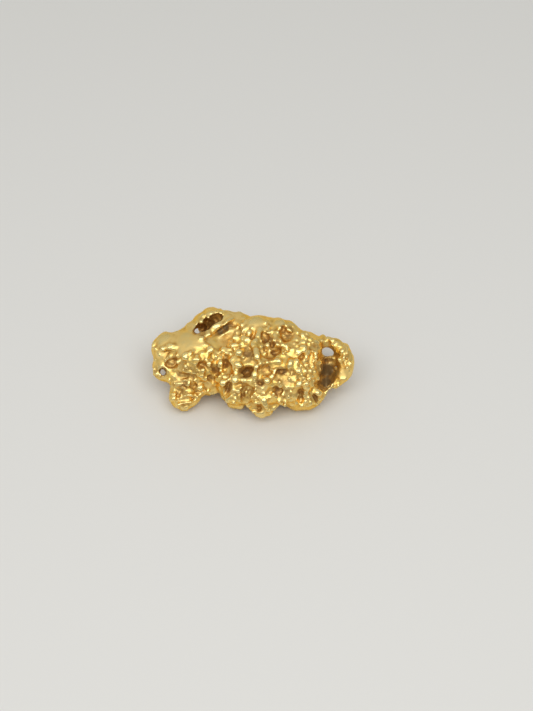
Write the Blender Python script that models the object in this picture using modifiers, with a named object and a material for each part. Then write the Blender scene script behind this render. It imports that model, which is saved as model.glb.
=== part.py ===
"""A natural gold nugget: one lumpy, pitted, partly hollow solid that lies on its flattest side.

+X runs along the nugget, +Z is up, and the origin is on the ground under the middle of its box.
The shape is worked in millimetres and brought to metres at the end, because Blender's
remeshing and merging distances suit larger things.

Most of its forms are placed as they show to an eye that looks down on the best side: so far
across and so far up the plane that faces that eye. Main masses also say how high they stand.
Nodules and pits lie where the line from the eye meets the surface.
"""

import math
import random

import bmesh
import bpy
from mathutils import Matrix, Vector
from mathutils.bvhtree import BVHTree

MM = 0.001

# Driving dimensions, in millimetres.
NUGGET_LENGTH = 9.0
EYE_DISTANCE = 76.6

# The point that the eye looks at: its height, and how far it lies in front of the box's middle.
MID_HEIGHT = 1.65
MID_FORWARD = 0.30

# The best side is seen looking along +Y and down by this much.
SIGHT_DOWN = math.radians(52)

# How finely the lumps are fused and how often the skin is smoothed, first for the main masses
# and then for the details, and how many triangles the finished solid keeps.
FUSE_VOXEL = 0.085
FUSE_SMOOTHING = 4
DETAIL_VOXEL = 0.065
DETAIL_SMOOTHING = 1
MOST_TRIANGLES = 9300

# Corners of the worn faces that lie closer than this are one corner.
SLIVER = 0.01

GOLD = (1.0, 0.68, 0.28, 1.0)
GOLD_ROUGHNESS = 0.25

# Main masses: (across, up, height), radii along X, Y and Z, turn about Z in degrees.
MASSES = {
    "belly": ((0.75, -0.05, 1.55), (2.35, 2.05, 1.40), 0),
    "belly_left": ((-0.75, -0.55, 1.35), (0.95, 1.45, 1.10), 0),
    "belly_back": ((0.30, 1.00, 1.40), (1.90, 1.20, 1.15), 0),
    "left_body": ((-2.45, 0.35, 1.65), (1.45, 1.45, 1.05), 0),
    "left_knob": ((-3.72, 0.62, 1.75), (0.80, 0.85, 0.72), 0),
    "ring_wall": ((-3.80, -0.22, 1.35), (0.66, 0.62, 0.70), 0),
    "left_ledge": ((-3.05, -0.55, 1.25), (0.80, 0.65, 0.60), 0),
    "foot": ((-2.98, -1.42, 0.62), (0.78, 0.70, 0.62), 0),
    "foot_tail": ((-2.10, -0.92, 0.95), (0.95, 0.55, 0.50), 10),
    "front_lump": ((0.42, -1.93, 0.58), (0.56, 0.60, 0.62), 0),
    "front_left": ((-0.75, -1.50, 0.60), (0.68, 0.55, 0.55), 0),
    "front_right": ((2.10, -1.40, 0.70), (1.05, 0.75, 0.70), 0),
    "right_shoulder": ((2.20, 0.42, 1.85), (0.95, 1.15, 0.95), 0),
    "back_hump": ((-1.55, 1.55, 2.05), (1.20, 0.95, 0.85), 4),
    "top_plate": ((0.15, 1.40, 2.33), (1.00, 0.75, 0.70), 0),
    "top_right_lump": ((1.30, 1.25, 2.25), (0.80, 0.78, 0.75), 0),
    "cavity_back": ((-1.85, 1.30, 1.45), (1.05, 0.72, 0.75), 0),
    "back_left_foot": ((-1.80, 0.75, 0.80), (1.15, 0.95, 0.80), 0),
    "back_right_foot": ((1.60, 0.70, 0.80), (1.30, 0.95, 0.80), 0),
    "step_low": ((-3.10, 1.22, 1.95), (0.32, 0.40, 0.33), 0),
    "step_high": ((-2.72, 1.50, 2.00), (0.32, 0.40, 0.38), 0),
    "right_web": ((3.15, 0.10, 1.30), (0.60, 0.30, 0.30), 0),
    "hollow_floor": ((3.25, -0.55, 0.75), (0.60, 0.75, 0.38), 0),
}

# Straps swept as round bars: points of (across, up, height, radius).
STRAPS = {
    "handle": (
        (2.55, 0.85, 1.85, 0.36),
        (3.18, 0.94, 1.85, 0.32),
        (3.66, 0.74, 1.85, 0.38),
        (4.02, 0.28, 1.70, 0.44),
        (4.04, -0.20, 1.45, 0.44),
        (3.82, -0.60, 1.20, 0.38),
        (3.42, -0.95, 0.95, 0.30),
        (2.95, -1.35, 0.80, 0.30),
    ),
    "arch": (
        (-2.68, 1.35, 2.00, 0.28),
        (-2.50, 1.80, 2.10, 0.27),
        (-2.12, 2.14, 2.20, 0.28),
        (-1.60, 2.24, 2.25, 0.28),
        (-1.05, 2.14, 2.30, 0.29),
        (-0.55, 1.96, 2.30, 0.34),
        (-0.10, 1.70, 2.30, 0.36),
    ),
}

# Large hollows: (across, up, height), radii along, across and into the sight line, turn in degrees.
HOLLOWS = {
    "top_cavity": ((-1.90, 1.74, 2.45), (0.72, 0.25, 0.50), 31),
    "top_cavity_core": ((-2.05, 1.66, 2.25), (0.45, 0.26, 0.60), 40),
    "top_cavity_window": ((-2.44, 1.40, 1.80), (0.14, 0.13, 2.60), 20),
    "ring_hole": ((-3.92, -0.36, 1.30), (0.13, 0.17, 1.80), 0),
    "right_hole": ((3.24, 0.50, 1.60), (0.27, 0.15, 2.20), -18),
    "right_hollow": ((3.27, -0.50, 1.45), (0.27, 0.56, 0.80), -6),
    "front_gap": ((-1.55, -1.75, 0.55), (0.40, 0.42, 1.40), 0),
}

# Shallow bowls and ledges sunk into the seen side before the nodules grow on it:
# across, up, half length, half width, depth, turn in degrees.
BOWLS = (
    (0.72, 0.72, 0.50, 0.46, 0.32, 60), (1.50, -0.66, 0.60, 0.17, 0.15, -3),
    (1.40, -1.22, 0.55, 0.26, 0.22, 0), (-0.35, -1.22, 0.50, 0.24, 0.20, 10),
    (-2.95, -0.58, 0.62, 0.18, 0.25, -5), (-3.55, 0.05, 0.32, 0.25, 0.26, 0),
    (1.48, 1.38, 0.42, 0.28, 0.26, 0), (-2.10, -0.12, 0.40, 0.24, 0.18, -20),
    (-0.30, -0.38, 0.44, 0.28, 0.20, 12), (-1.12, -0.20, 0.48, 0.22, 0.18, 86),
    (0.62, -0.36, 0.42, 0.16, 0.18, 14), (-1.10, 1.20, 0.30, 0.16, 0.14, 30),
    (2.05, -1.35, 0.36, 0.12, 0.16, 88),
)

# The smooth blade that crosses the top cavity, swept like the straps.
TONGUE = (
    (-2.15, 1.30, 2.30, 0.14),
    (-1.65, 1.52, 2.42, 0.16),
    (-1.10, 1.84, 2.56, 0.15),
    (-0.78, 2.00, 2.58, 0.14),
)

# Nodules on the seen side: across, up and radius.
NODULES = (
    # left plates and knob
    (-2.94, 0.30, 0.14), (-2.70, 0.36, 0.13), (-2.48, 0.16, 0.14), (-3.25, 0.02, 0.12),
    (-2.93, -0.15, 0.12), (-2.25, 1.07, 0.13), (-1.97, 1.26, 0.14), (-1.86, 0.56, 0.14),
    (-3.60, 0.72, 0.15), (-3.88, 0.64, 0.13), (-2.30, -0.22, 0.14), (-1.95, 0.05, 0.15),
    # centre
    (-0.73, 1.10, 0.16), (-0.30, 1.00, 0.20), (-0.17, 1.32, 0.15), (-0.80, 0.75, 0.15),
    (-1.22, 0.53, 0.17), (-0.57, 0.42, 0.17), (-0.50, 0.80, 0.12), (0.22, 1.32, 0.12),
    (0.20, 1.14, 0.12), (0.06, 0.94, 0.13), (0.05, 0.73, 0.12), (0.15, 0.52, 0.13),
    (0.18, 0.28, 0.15), (0.63, 0.72, 0.12), (0.72, 1.32, 0.13), (1.05, 1.42, 0.13),
    (1.30, 0.78, 0.14), (1.56, 0.64, 0.16), (0.50, 0.42, 0.12), (-0.60, -0.07, 0.16),
    (0.13, -0.20, 0.13), (-0.76, -0.75, 0.17), (-0.70, -0.40, 0.13), (-0.36, -0.78, 0.14),
    (-1.32, -0.85, 0.14), (0.60, -0.80, 0.16), (-1.45, 0.10, 0.13), (-1.42, -0.28, 0.14),
    # right shoulder and column
    (2.20, 0.60, 0.19), (1.96, 0.48, 0.14), (2.20, 0.87, 0.13), (2.15, 1.22, 0.13),
    (1.85, 0.00, 0.16), (1.58, 0.00, 0.15), (1.95, -0.33, 0.15), (2.00, -0.90, 0.16),
    (2.70, 0.42, 0.13), (2.70, 0.20, 0.13), (2.80, -1.30, 0.28), (2.34, -0.90, 0.17),
    (2.38, -1.20, 0.17), (2.32, -1.50, 0.18), (2.48, -1.78, 0.20), (1.55, 1.40, 0.14),
    # front row
    (-1.20, -1.50, 0.20), (-0.85, -1.60, 0.21), (-0.42, -1.72, 0.18), (-0.10, -1.92, 0.20),
    (0.18, -1.70, 0.16), (0.50, -1.70, 0.20), (0.88, -1.92, 0.18), (1.30, -1.72, 0.22),
    (1.72, -1.75, 0.22), (2.08, -1.72, 0.18), (1.50, -1.28, 0.20), (-0.70, -1.10, 0.20),
    # foot
    (-2.30, -1.05, 0.15), (-2.78, -0.88, 0.14), (-3.45, -1.50, 0.15), (-3.42, -1.25, 0.14),
    (-3.20, -1.80, 0.14), (-2.75, -1.32, 0.16),
    # handle
    (3.35, 1.04, 0.12), (3.56, 0.92, 0.14), (3.76, 0.76, 0.14), (3.92, 0.52, 0.15),
    (3.48, 0.76, 0.12), (4.02, 0.24, 0.13), (3.78, 0.10, 0.13), (4.10, -0.18, 0.12),
)

NODULE_RISE = 1.15

# Pits and grooves on the seen side: across, up, half length, half width, depth, turn in degrees.
PITS = (
    (-3.55, 0.05, 0.28, 0.20, 0.25, 0), (-3.76, 0.45, 0.20, 0.09, 0.16, 5),
    (-1.20, 0.00, 0.22, 0.12, 0.34, 78), (-0.27, -0.37, 0.29, 0.17, 0.32, 22),
    (0.52, 1.12, 0.20, 0.12, 0.26, 70), (0.78, 0.90, 0.18, 0.12, 0.24, 70),
    (1.02, 0.55, 0.20, 0.13, 0.22, -15), (0.80, 0.22, 0.17, 0.12, 0.20, 0),
    (1.33, 1.50, 0.14, 0.10, 0.30, 80), (1.42, 1.10, 0.18, 0.13, 0.25, 0),
    (1.74, 1.58, 0.13, 0.10, 0.20, 0), (0.52, -0.25, 0.30, 0.09, 0.18, 12),
    (0.92, -0.64, 0.22, 0.09, 0.18, 38), (1.25, -0.42, 0.30, 0.10, 0.20, 10),
    (0.32, -0.88, 0.20, 0.09, 0.22, -10), (-1.12, -1.08, 0.32, 0.11, 0.30, 76),
    (-0.42, -1.42, 0.16, 0.11, 0.22, 0), (0.25, -2.00, 0.14, 0.12, 0.20, 0),
    (1.03, -1.26, 0.30, 0.09, 0.18, 84), (2.10, -1.40, 0.30, 0.09, 0.16, 88),
    (2.10, 0.28, 0.14, 0.12, 0.20, 0), (2.75, 0.72, 0.13, 0.09, 0.20, 0),
    (2.68, -1.48, 0.18, 0.09, 0.18, -45), (-2.60, -1.55, 0.17, 0.11, 0.22, 20),
    (-3.26, -1.38, 0.14, 0.11, 0.20, 0), (-2.52, -1.02, 0.12, 0.09, 0.16, 0),
    (-2.80, -1.86, 0.42, 0.08, 0.16, 8), (-1.60, -0.32, 0.30, 0.11, 0.22, 65),
    (-3.10, -0.50, 0.50, 0.08, 0.14, -3), (-2.48, -0.40, 0.22, 0.09, 0.16, -62),
    (-1.25, 1.50, 0.50, 0.11, 0.28, 34), (3.10, -1.10, 0.20, 0.10, 0.24, 70),
    (-1.72, 0.75, 0.20, 0.08, 0.12, 88), (0.72, -1.20, 0.22, 0.14, 0.18, 30),
)

# The far side and the underside carry bowls, lumps and pits of the same kinds, spread by a
# fixed seed: how many rays look for a place, the least and most radius, and how far the surface
# there may still face the eye (-1 is straight away from it).
FAR_SIDE_SEED = 11
FAR_BOWLS = (170, 0.30, 0.60, -0.35)
FAR_LUMPS = (1100, 0.12, 0.30, -0.25)
FAR_PITS = (420, 0.09, 0.20, -0.15)
BOWL_SQUASH = (0.30, 0.55)
LUMP_SQUASH = (0.70, 1.10)

# How these shapes stretch along the surface and how deep they sink in, in radii.
FAR_STRETCH = (0.8, 1.7)
FAR_SINK = 0.40

# What the rays aim at: this share of the length either way along X, and this far along Y.
AIM_ALONG = 0.45
AIM_ACROSS = (-1.2, 1.5)


MIDDLE = Vector((0, -MID_FORWARD, MID_HEIGHT))


def sight_axes():
    """Right, up and towards the eye, as the best side is seen."""
    sine, cosine = math.sin(SIGHT_DOWN), math.cos(SIGHT_DOWN)
    return Vector((1, 0, 0)), Vector((0, sine, cosine)), Vector((0, -cosine, sine))


def sight_line(across, up):
    """The eye, and the direction in which it sees something that shows this far across and up."""
    right, upward, to_eye = sight_axes()
    eye = MIDDLE + EYE_DISTANCE * to_eye
    return eye, (MIDDLE + across * right + up * upward - eye).normalized()


def from_sight(across, up, height):
    """Where something lies that shows this far across and up, and stands this high."""
    eye, direction = sight_line(across, up)
    return eye + direction * ((height - eye.z) / direction.z)


def sight_turn(degrees):
    """Turns X and Y into the plane that faces the eye, and Z towards the eye."""
    lean = Matrix.Rotation(math.pi / 2 - SIGHT_DOWN, 4, "X")
    return lean @ Matrix.Rotation(math.radians(degrees), 4, "Z")


def add_ellipsoid(bm, centre, radii, turn):
    matrix = Matrix.Translation(centre) @ turn @ Matrix.Diagonal((*radii, 1))
    bmesh.ops.create_icosphere(bm, subdivisions=3, radius=1, matrix=matrix)


def mesh_from(bm):
    mesh = bpy.data.meshes.new("shapes")
    bm.to_mesh(mesh)
    bm.free()
    return mesh


def mesh_of(obj):
    graph = bpy.context.evaluated_depsgraph_get()
    return bpy.data.meshes.new_from_object(obj.evaluated_get(graph))


def add_bar(bm, name, points):
    """Adds a round bar along a smooth curve, as thick at each point as the point says."""
    curve = bpy.data.curves.new(name, "CURVE")
    curve.dimensions = "3D"
    curve.resolution_u = 6
    curve.bevel_depth = 1
    curve.bevel_resolution = 3
    curve.use_fill_caps = True
    spline = curve.splines.new("BEZIER")
    spline.bezier_points.add(len(points) - 1)
    for point, (across, up, height, radius) in zip(spline.bezier_points, points):
        point.co = from_sight(across, up, height)
        point.radius = radius
        point.handle_left_type = "AUTO"
        point.handle_right_type = "AUTO"
    bar = bpy.data.objects.new(name, curve)
    bpy.context.scene.collection.objects.link(bar)
    bpy.context.view_layer.update()
    bm.from_mesh(mesh_of(bar))
    bpy.data.objects.remove(bar)


def set_mesh(obj, mesh):
    """Gives the object this mesh and forgets its modifiers and its former mesh."""
    former = obj.data
    obj.modifiers.clear()
    obj.data = mesh
    bpy.data.meshes.remove(former)


def apply_modifiers(obj):
    bpy.context.view_layer.update()
    set_mesh(obj, mesh_of(obj))


def fuse(obj, voxel, smoothing):
    """Makes one skin of everything that overlaps in the object, and softens where lumps meet."""
    remesh = obj.modifiers.new("fuse", "REMESH")
    remesh.mode = "VOXEL"
    remesh.voxel_size = voxel
    soften = obj.modifiers.new("soften", "SMOOTH")
    soften.factor = 0.5
    soften.iterations = smoothing
    apply_modifiers(obj)


def new_object(name, bm, collection):
    obj = bpy.data.objects.new(name, mesh_from(bm))
    collection.objects.link(obj)
    return obj


def join_into(obj, bm):
    """Adds the lumps in bm to the object's mesh, still as separate bodies."""
    bm.from_mesh(obj.data)
    set_mesh(obj, mesh_from(bm))


def carve(obj, name, bm, cutters):
    """Cuts the ellipsoids in bm out of the object, and leaves the fused cutter in its collection."""
    cutter = new_object(name, bm, cutters)
    fuse(cutter, DETAIL_VOXEL, DETAIL_SMOOTHING)
    cutter.hide_render = True
    cutter.display_type = "WIRE"
    cut = obj.modifiers.new(name, "BOOLEAN")
    cut.operation = "DIFFERENCE"
    cut.solver = "EXACT"
    cut.object = cutter
    apply_modifiers(obj)


def masses():
    bm = bmesh.new()
    for place, radii, degrees in MASSES.values():
        add_ellipsoid(bm, from_sight(*place), radii, Matrix.Rotation(math.radians(degrees), 4, "Z"))
    for name, points in STRAPS.items():
        add_bar(bm, name, points)
    return bm


def hollows():
    bm = bmesh.new()
    for place, radii, degrees in HOLLOWS.values():
        add_ellipsoid(bm, from_sight(*place), radii, sight_turn(degrees))
    return bm


def surface_of(obj):
    return BVHTree.FromPolygons(
        [vertex.co for vertex in obj.data.vertices],
        [tuple(polygon.vertices) for polygon in obj.data.polygons],
    )


def seen_point(surface, across, up):
    """Where the line from the eye first meets the surface, or None past its outline."""
    return surface.ray_cast(*sight_line(across, up))[0]


def nodules(surface):
    """Rounded lumps that stand proud where the eye's line meets the surface, and the tongue."""
    bm = bmesh.new()
    for across, up, radius in NODULES:
        point = seen_point(surface, across, up)
        if point:
            add_ellipsoid(bm, point, (radius, radius, NODULE_RISE * radius), sight_turn(0))
    add_bar(bm, "tongue", TONGUE)
    return bm


def sunk(surface, shapes):
    """Ellipsoids that cut to their depth where the eye's line meets the surface."""
    bm = bmesh.new()
    for across, up, length, width, depth, degrees in shapes:
        point = seen_point(surface, across, up)
        if point:
            add_ellipsoid(bm, point, (length, width, depth), sight_turn(degrees))
    return bm


def far_places(surface, source, count, facing):
    """Points spread round the nugget, kept where the surface turns far enough from the eye."""
    to_eye = sight_axes()[2]
    reach = 2 * NUGGET_LENGTH
    golden_turn = math.pi * (3 - math.sqrt(5))
    for index in range(count):
        level = 1 - 2 * (index + 0.5) / count
        ring = math.sqrt(1 - level * level)
        angle = index * golden_turn
        direction = Vector((ring * math.cos(angle), ring * math.sin(angle), level))
        aim_x = source.uniform(-AIM_ALONG, AIM_ALONG) * NUGGET_LENGTH
        aim = MIDDLE + Vector((aim_x, source.uniform(*AIM_ACROSS), 0))
        point, normal = surface.ray_cast(aim + reach * direction, -direction)[:2]
        if point and normal.dot(to_eye) < facing:
            yield point, normal


def far_shapes(surface, source, spread, squash):
    """Ellipsoids of random size, stretch and turn on the far side, squashed towards the surface.

    They are smaller towards the nugget's two ends, and sunk a little, so that the ends and the
    outline stay as the masses make them.
    """
    count, least, most, facing = spread
    bm = bmesh.new()
    for point, normal in far_places(surface, source, count, facing):
        radius = source.uniform(least, most) * (1 - abs(point.x) / NUGGET_LENGTH)
        long_radius = radius * source.uniform(*FAR_STRETCH)
        radii = (long_radius, radius, radius * source.uniform(*squash))
        turn = normal.to_track_quat("Z", "Y").to_matrix().to_4x4()
        spin = Matrix.Rotation(source.uniform(0, math.pi), 4, "Z")
        add_ellipsoid(bm, point - FAR_SINK * radius * normal, radii, turn @ spin)
    return mesh_from(bm)


def wear_flat(obj, cutters):
    """Cuts off what dips below the ground, which leaves the worn faces that the nugget lies on."""
    side = 3 * NUGGET_LENGTH
    bm = bmesh.new()
    bmesh.ops.create_cube(bm, size=side, matrix=Matrix.Translation((0, 0, -side / 2)))
    ground = new_object("ground", bm, cutters)
    ground.hide_render = True
    ground.display_type = "WIRE"
    cut = obj.modifiers.new("ground", "BOOLEAN")
    cut.operation = "DIFFERENCE"
    cut.solver = "EXACT"
    cut.object = ground
    apply_modifiers(obj)
    bm = bmesh.new()
    bm.from_mesh(obj.data)
    bmesh.ops.triangulate(bm, faces=bm.faces)
    bmesh.ops.remove_doubles(bm, verts=bm.verts, dist=SLIVER)
    for vertex in bm.verts:
        if vertex.co.z < SLIVER:
            vertex.co.z = 0
    set_mesh(obj, mesh_from(bm))


def keep_largest(obj):
    """Drops crumbs that the carving cut loose, so that one body is left."""
    bm = bmesh.new()
    bm.from_mesh(obj.data)
    unseen = set(bm.verts)
    bodies = []
    while unseen:
        body = []
        edge_of_body = [unseen.pop()]
        while edge_of_body:
            vertex = edge_of_body.pop()
            body.append(vertex)
            for edge in vertex.link_edges:
                other = edge.other_vert(vertex)
                if other in unseen:
                    unseen.remove(other)
                    edge_of_body.append(other)
        bodies.append(body)
    bodies.sort(key=len)
    for crumbs in bodies[:-1]:
        bmesh.ops.delete(bm, geom=crumbs, context="VERTS")
    set_mesh(obj, mesh_from(bm))


def thin_out(obj):
    """Brings the skin down to its number of triangles, with most where it curves most."""
    triangles = sum(len(polygon.vertices) - 2 for polygon in obj.data.polygons)
    fewer = obj.modifiers.new("fewer", "DECIMATE")
    fewer.ratio = MOST_TRIANGLES / triangles
    apply_modifiers(obj)


def place_and_scale(objects, nugget):
    """Centres the nugget over the origin at its real length in metres, and takes the cutters along."""
    corners = [vertex.co for vertex in nugget.data.vertices]
    lowest = Vector([min(corner[axis] for corner in corners) for axis in range(3)])
    highest = Vector([max(corner[axis] for corner in corners) for axis in range(3)])
    middle = (lowest + highest) / 2
    scale = NUGGET_LENGTH / (highest.x - lowest.x)
    change = Matrix.Scale(scale * MM, 4) @ Matrix.Translation((-middle.x, -middle.y, -lowest.z))
    for obj in objects:
        obj.data.transform(change)


def gold():
    material = bpy.data.materials.new("native_gold")
    material.use_nodes = True
    shader = material.node_tree.nodes["Principled BSDF"]
    shader.inputs["Base Color"].default_value = GOLD
    shader.inputs["Metallic"].default_value = 1.0
    shader.inputs["Roughness"].default_value = GOLD_ROUGHNESS
    return material


def build():
    for obj in list(bpy.data.objects):
        bpy.data.objects.remove(obj)
    collection = bpy.data.collections.new("gold_nugget")
    cutters = bpy.data.collections.new("cutters")
    bpy.context.scene.collection.children.link(collection)
    bpy.context.scene.collection.children.link(cutters)

    nugget = new_object("nugget", masses(), collection)
    fuse(nugget, FUSE_VOXEL, FUSE_SMOOTHING)

    source = random.Random(FAR_SIDE_SEED)
    surface = surface_of(nugget)
    bowls = sunk(surface, BOWLS)
    bowls.from_mesh(mesh_from(hollows()))
    bowls.from_mesh(far_shapes(surface, source, FAR_BOWLS, BOWL_SQUASH))
    carve(nugget, "hollows", bowls, cutters)

    surface = surface_of(nugget)
    lumps = nodules(surface)
    lumps.from_mesh(far_shapes(surface, source, FAR_LUMPS, LUMP_SQUASH))
    join_into(nugget, lumps)
    fuse(nugget, DETAIL_VOXEL, 0)

    surface = surface_of(nugget)
    holes = sunk(surface, PITS)
    holes.from_mesh(mesh_from(hollows()))
    holes.from_mesh(far_shapes(surface, source, FAR_PITS, LUMP_SQUASH))
    carve(nugget, "pits", holes, cutters)
    fuse(nugget, DETAIL_VOXEL, DETAIL_SMOOTHING)
    keep_largest(nugget)
    thin_out(nugget)
    wear_flat(nugget, cutters)
    place_and_scale([nugget, *cutters.objects], nugget)
    nugget.data.materials.append(gold())
    nugget.data.shade_smooth()


build()
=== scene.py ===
# %% [markdown]
# A natural gold nugget, 9 mm long, lying on a pale floor. Real placer gold is soft: water and
# gravel hammer its high spots smooth, while nodules, pits and folds survive wherever nothing
# could rub. This lesson starts from the fixed CAD solid, which already has the large lumps and
# hollows, and grows the fine surface over it.

import math
import random

import bmesh
import bpy
import numpy as np
from mathutils import Matrix, Vector, noise
from mathutils.bvhtree import BVHTree
from mathutils.kdtree import KDTree


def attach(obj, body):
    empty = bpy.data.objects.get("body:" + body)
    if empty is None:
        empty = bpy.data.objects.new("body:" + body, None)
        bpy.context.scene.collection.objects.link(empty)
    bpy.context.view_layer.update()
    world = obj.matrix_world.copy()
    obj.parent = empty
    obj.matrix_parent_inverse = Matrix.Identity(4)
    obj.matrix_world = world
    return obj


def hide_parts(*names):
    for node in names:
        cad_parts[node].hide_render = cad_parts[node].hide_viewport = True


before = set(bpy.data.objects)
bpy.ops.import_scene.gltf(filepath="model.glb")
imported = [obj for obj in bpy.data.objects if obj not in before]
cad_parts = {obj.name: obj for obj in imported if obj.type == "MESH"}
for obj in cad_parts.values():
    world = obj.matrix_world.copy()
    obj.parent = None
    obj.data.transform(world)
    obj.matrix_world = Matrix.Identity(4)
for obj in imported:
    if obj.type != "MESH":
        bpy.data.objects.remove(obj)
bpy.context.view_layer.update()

# %% [markdown]
# The nugget's best side is seen from in front and above. The same line of sight serves twice:
# the camera stands on it, and every nodule or pit of the best side is given by how far across
# and up it shows. Placing details like this is how a sculptor works from one good view.
# Modelling in millimetres keeps the remeshing sizes easy to read.

# %% The line of sight
MM = 0.001
SIGHT_DOWN = math.radians(52)
EYE_DISTANCE = 76.6
SIGHT_MIDDLE = Vector((0.013, -0.264, 1.65))
RIGHT = Vector((1, 0, 0))
UPWARD = Vector((0, math.sin(SIGHT_DOWN), math.cos(SIGHT_DOWN)))
TO_EYE = Vector((0, -math.cos(SIGHT_DOWN), math.sin(SIGHT_DOWN)))
EYE = SIGHT_MIDDLE + EYE_DISTANCE * TO_EYE


def sight_direction(across, up):
    """The way the eye looks at something that shows this far across and up, in millimetres."""
    return (SIGHT_MIDDLE + across * RIGHT + up * UPWARD - EYE).normalized()


print("eye stands", round(EYE.length, 1), "mm away")

# %% [markdown]
# The camera uses a long lens, as is usual close up to small specimens, so the nugget hardly
# changes its shape from front to back. The frame is taller than wide, and the nugget lies a
# little left of and below its middle. Apart from the sensor's 36 mm, the values count pixels
# of a frame 711 high.

# %% Camera
FRAME_HEIGHT = 711
FOCAL_PIXELS = 1757
SENSOR = 36
NUGGET_RIGHT_OF_MIDDLE = -13.5
NUGGET_BELOW_MIDDLE = 7.3


def make_camera():
    lens = bpy.data.cameras.new("specimen_camera")
    lens.sensor_width = SENSOR
    lens.lens = FOCAL_PIXELS * SENSOR / FRAME_HEIGHT
    lens.clip_start = 0.001
    camera = bpy.data.objects.new("specimen_camera", lens)
    bpy.context.scene.collection.objects.link(camera)
    camera.location = EYE * MM
    facing = (-TO_EYE).to_track_quat("-Z", "Y").to_matrix().to_4x4()
    turn_left = Matrix.Rotation(NUGGET_RIGHT_OF_MIDDLE / FOCAL_PIXELS, 4, "Y")
    turn_up = Matrix.Rotation(NUGGET_BELOW_MIDDLE / FOCAL_PIXELS, 4, "X")
    camera.matrix_world = Matrix.Translation(EYE * MM) @ facing @ turn_left @ turn_up
    bpy.context.scene.camera = camera
    return camera


camera = make_camera()
print("camera lens", round(camera.data.lens, 1), "mm")

# %% [markdown]
# The CAD node is loose triangles, so a copy of it is merged before anything else. A voxel
# remesh then spreads even, small faces over it, and a few rounds of smoothing melt the CAD
# facets away. Subdivision would keep the facets' layout, so the remesh is the better base.

# %% The base skin
BASE_VOXEL = 0.055
BASE_SMOOTHING = 12


def new_piece(name, mesh):
    piece = bpy.data.objects.new(name, mesh)
    bpy.context.scene.collection.objects.link(piece)
    return piece


def take_modifiers(piece):
    """Turns what the modifiers show into the piece's own mesh and removes the modifiers."""
    bpy.context.view_layer.update()
    graph = bpy.context.evaluated_depsgraph_get()
    mesh = bpy.data.meshes.new_from_object(piece.evaluated_get(graph))
    former = piece.data
    piece.modifiers.clear()
    piece.data = mesh
    bpy.data.meshes.remove(former)


def remesh(piece, voxel, smoothing):
    """One even skin over everything that overlaps, with its creases softened."""
    skin = piece.modifiers.new("skin", "REMESH")
    skin.mode = "VOXEL"
    skin.voxel_size = voxel
    if smoothing:
        soften = piece.modifiers.new("soften", "SMOOTH")
        soften.factor = 0.5
        soften.iterations = smoothing
    take_modifiers(piece)


def base_skin():
    bm = bmesh.new()
    bm.from_mesh(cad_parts["nugget"].data)
    bmesh.ops.remove_doubles(bm, verts=bm.verts, dist=1e-7)
    bmesh.ops.scale(bm, vec=(1 / MM, 1 / MM, 1 / MM), verts=bm.verts)
    mesh = bpy.data.meshes.new("gold_nugget")
    bm.to_mesh(mesh)
    bm.free()
    piece = new_piece("gold_nugget", mesh)
    remesh(piece, BASE_VOXEL, BASE_SMOOTHING)
    return piece


gold_nugget = base_skin()
print("base skin has", len(gold_nugget.data.polygons), "faces")

# %% [markdown]
# To set a nodule on the surface, a ray from the eye has to find the surface first. Blender's
# BVH tree answers such a question in microseconds.

# %% Finding the surface


def surface_of(piece):
    return BVHTree.FromPolygons(
        [vertex.co for vertex in piece.data.vertices],
        [tuple(polygon.vertices) for polygon in piece.data.polygons],
    )


def seen_point(surface, across, up):
    """Where the eye's line first meets the surface, with the normal there; None past the outline."""
    point, normal, _, _ = surface.ray_cast(EYE, sight_direction(across, up))
    return (point, normal) if point else None


surface = surface_of(gold_nugget)
print("middle of the best side lies at", seen_point(surface, 0, 0)[0])

# %% [markdown]
# Nodules are rounded beads of gold, 0.1 to 0.5 mm across, that grew or were hammered onto the
# surface. They repeat by the hundred, so Geometry Nodes makes them: a mesh with one vertex for
# each bead carries its size and turn as attributes, and Instance on Points sets a squashed
# sphere on every vertex. The same tree later makes the cutters of the pits.

# %% A Geometry Nodes tree that sets an ellipsoid on each point


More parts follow.
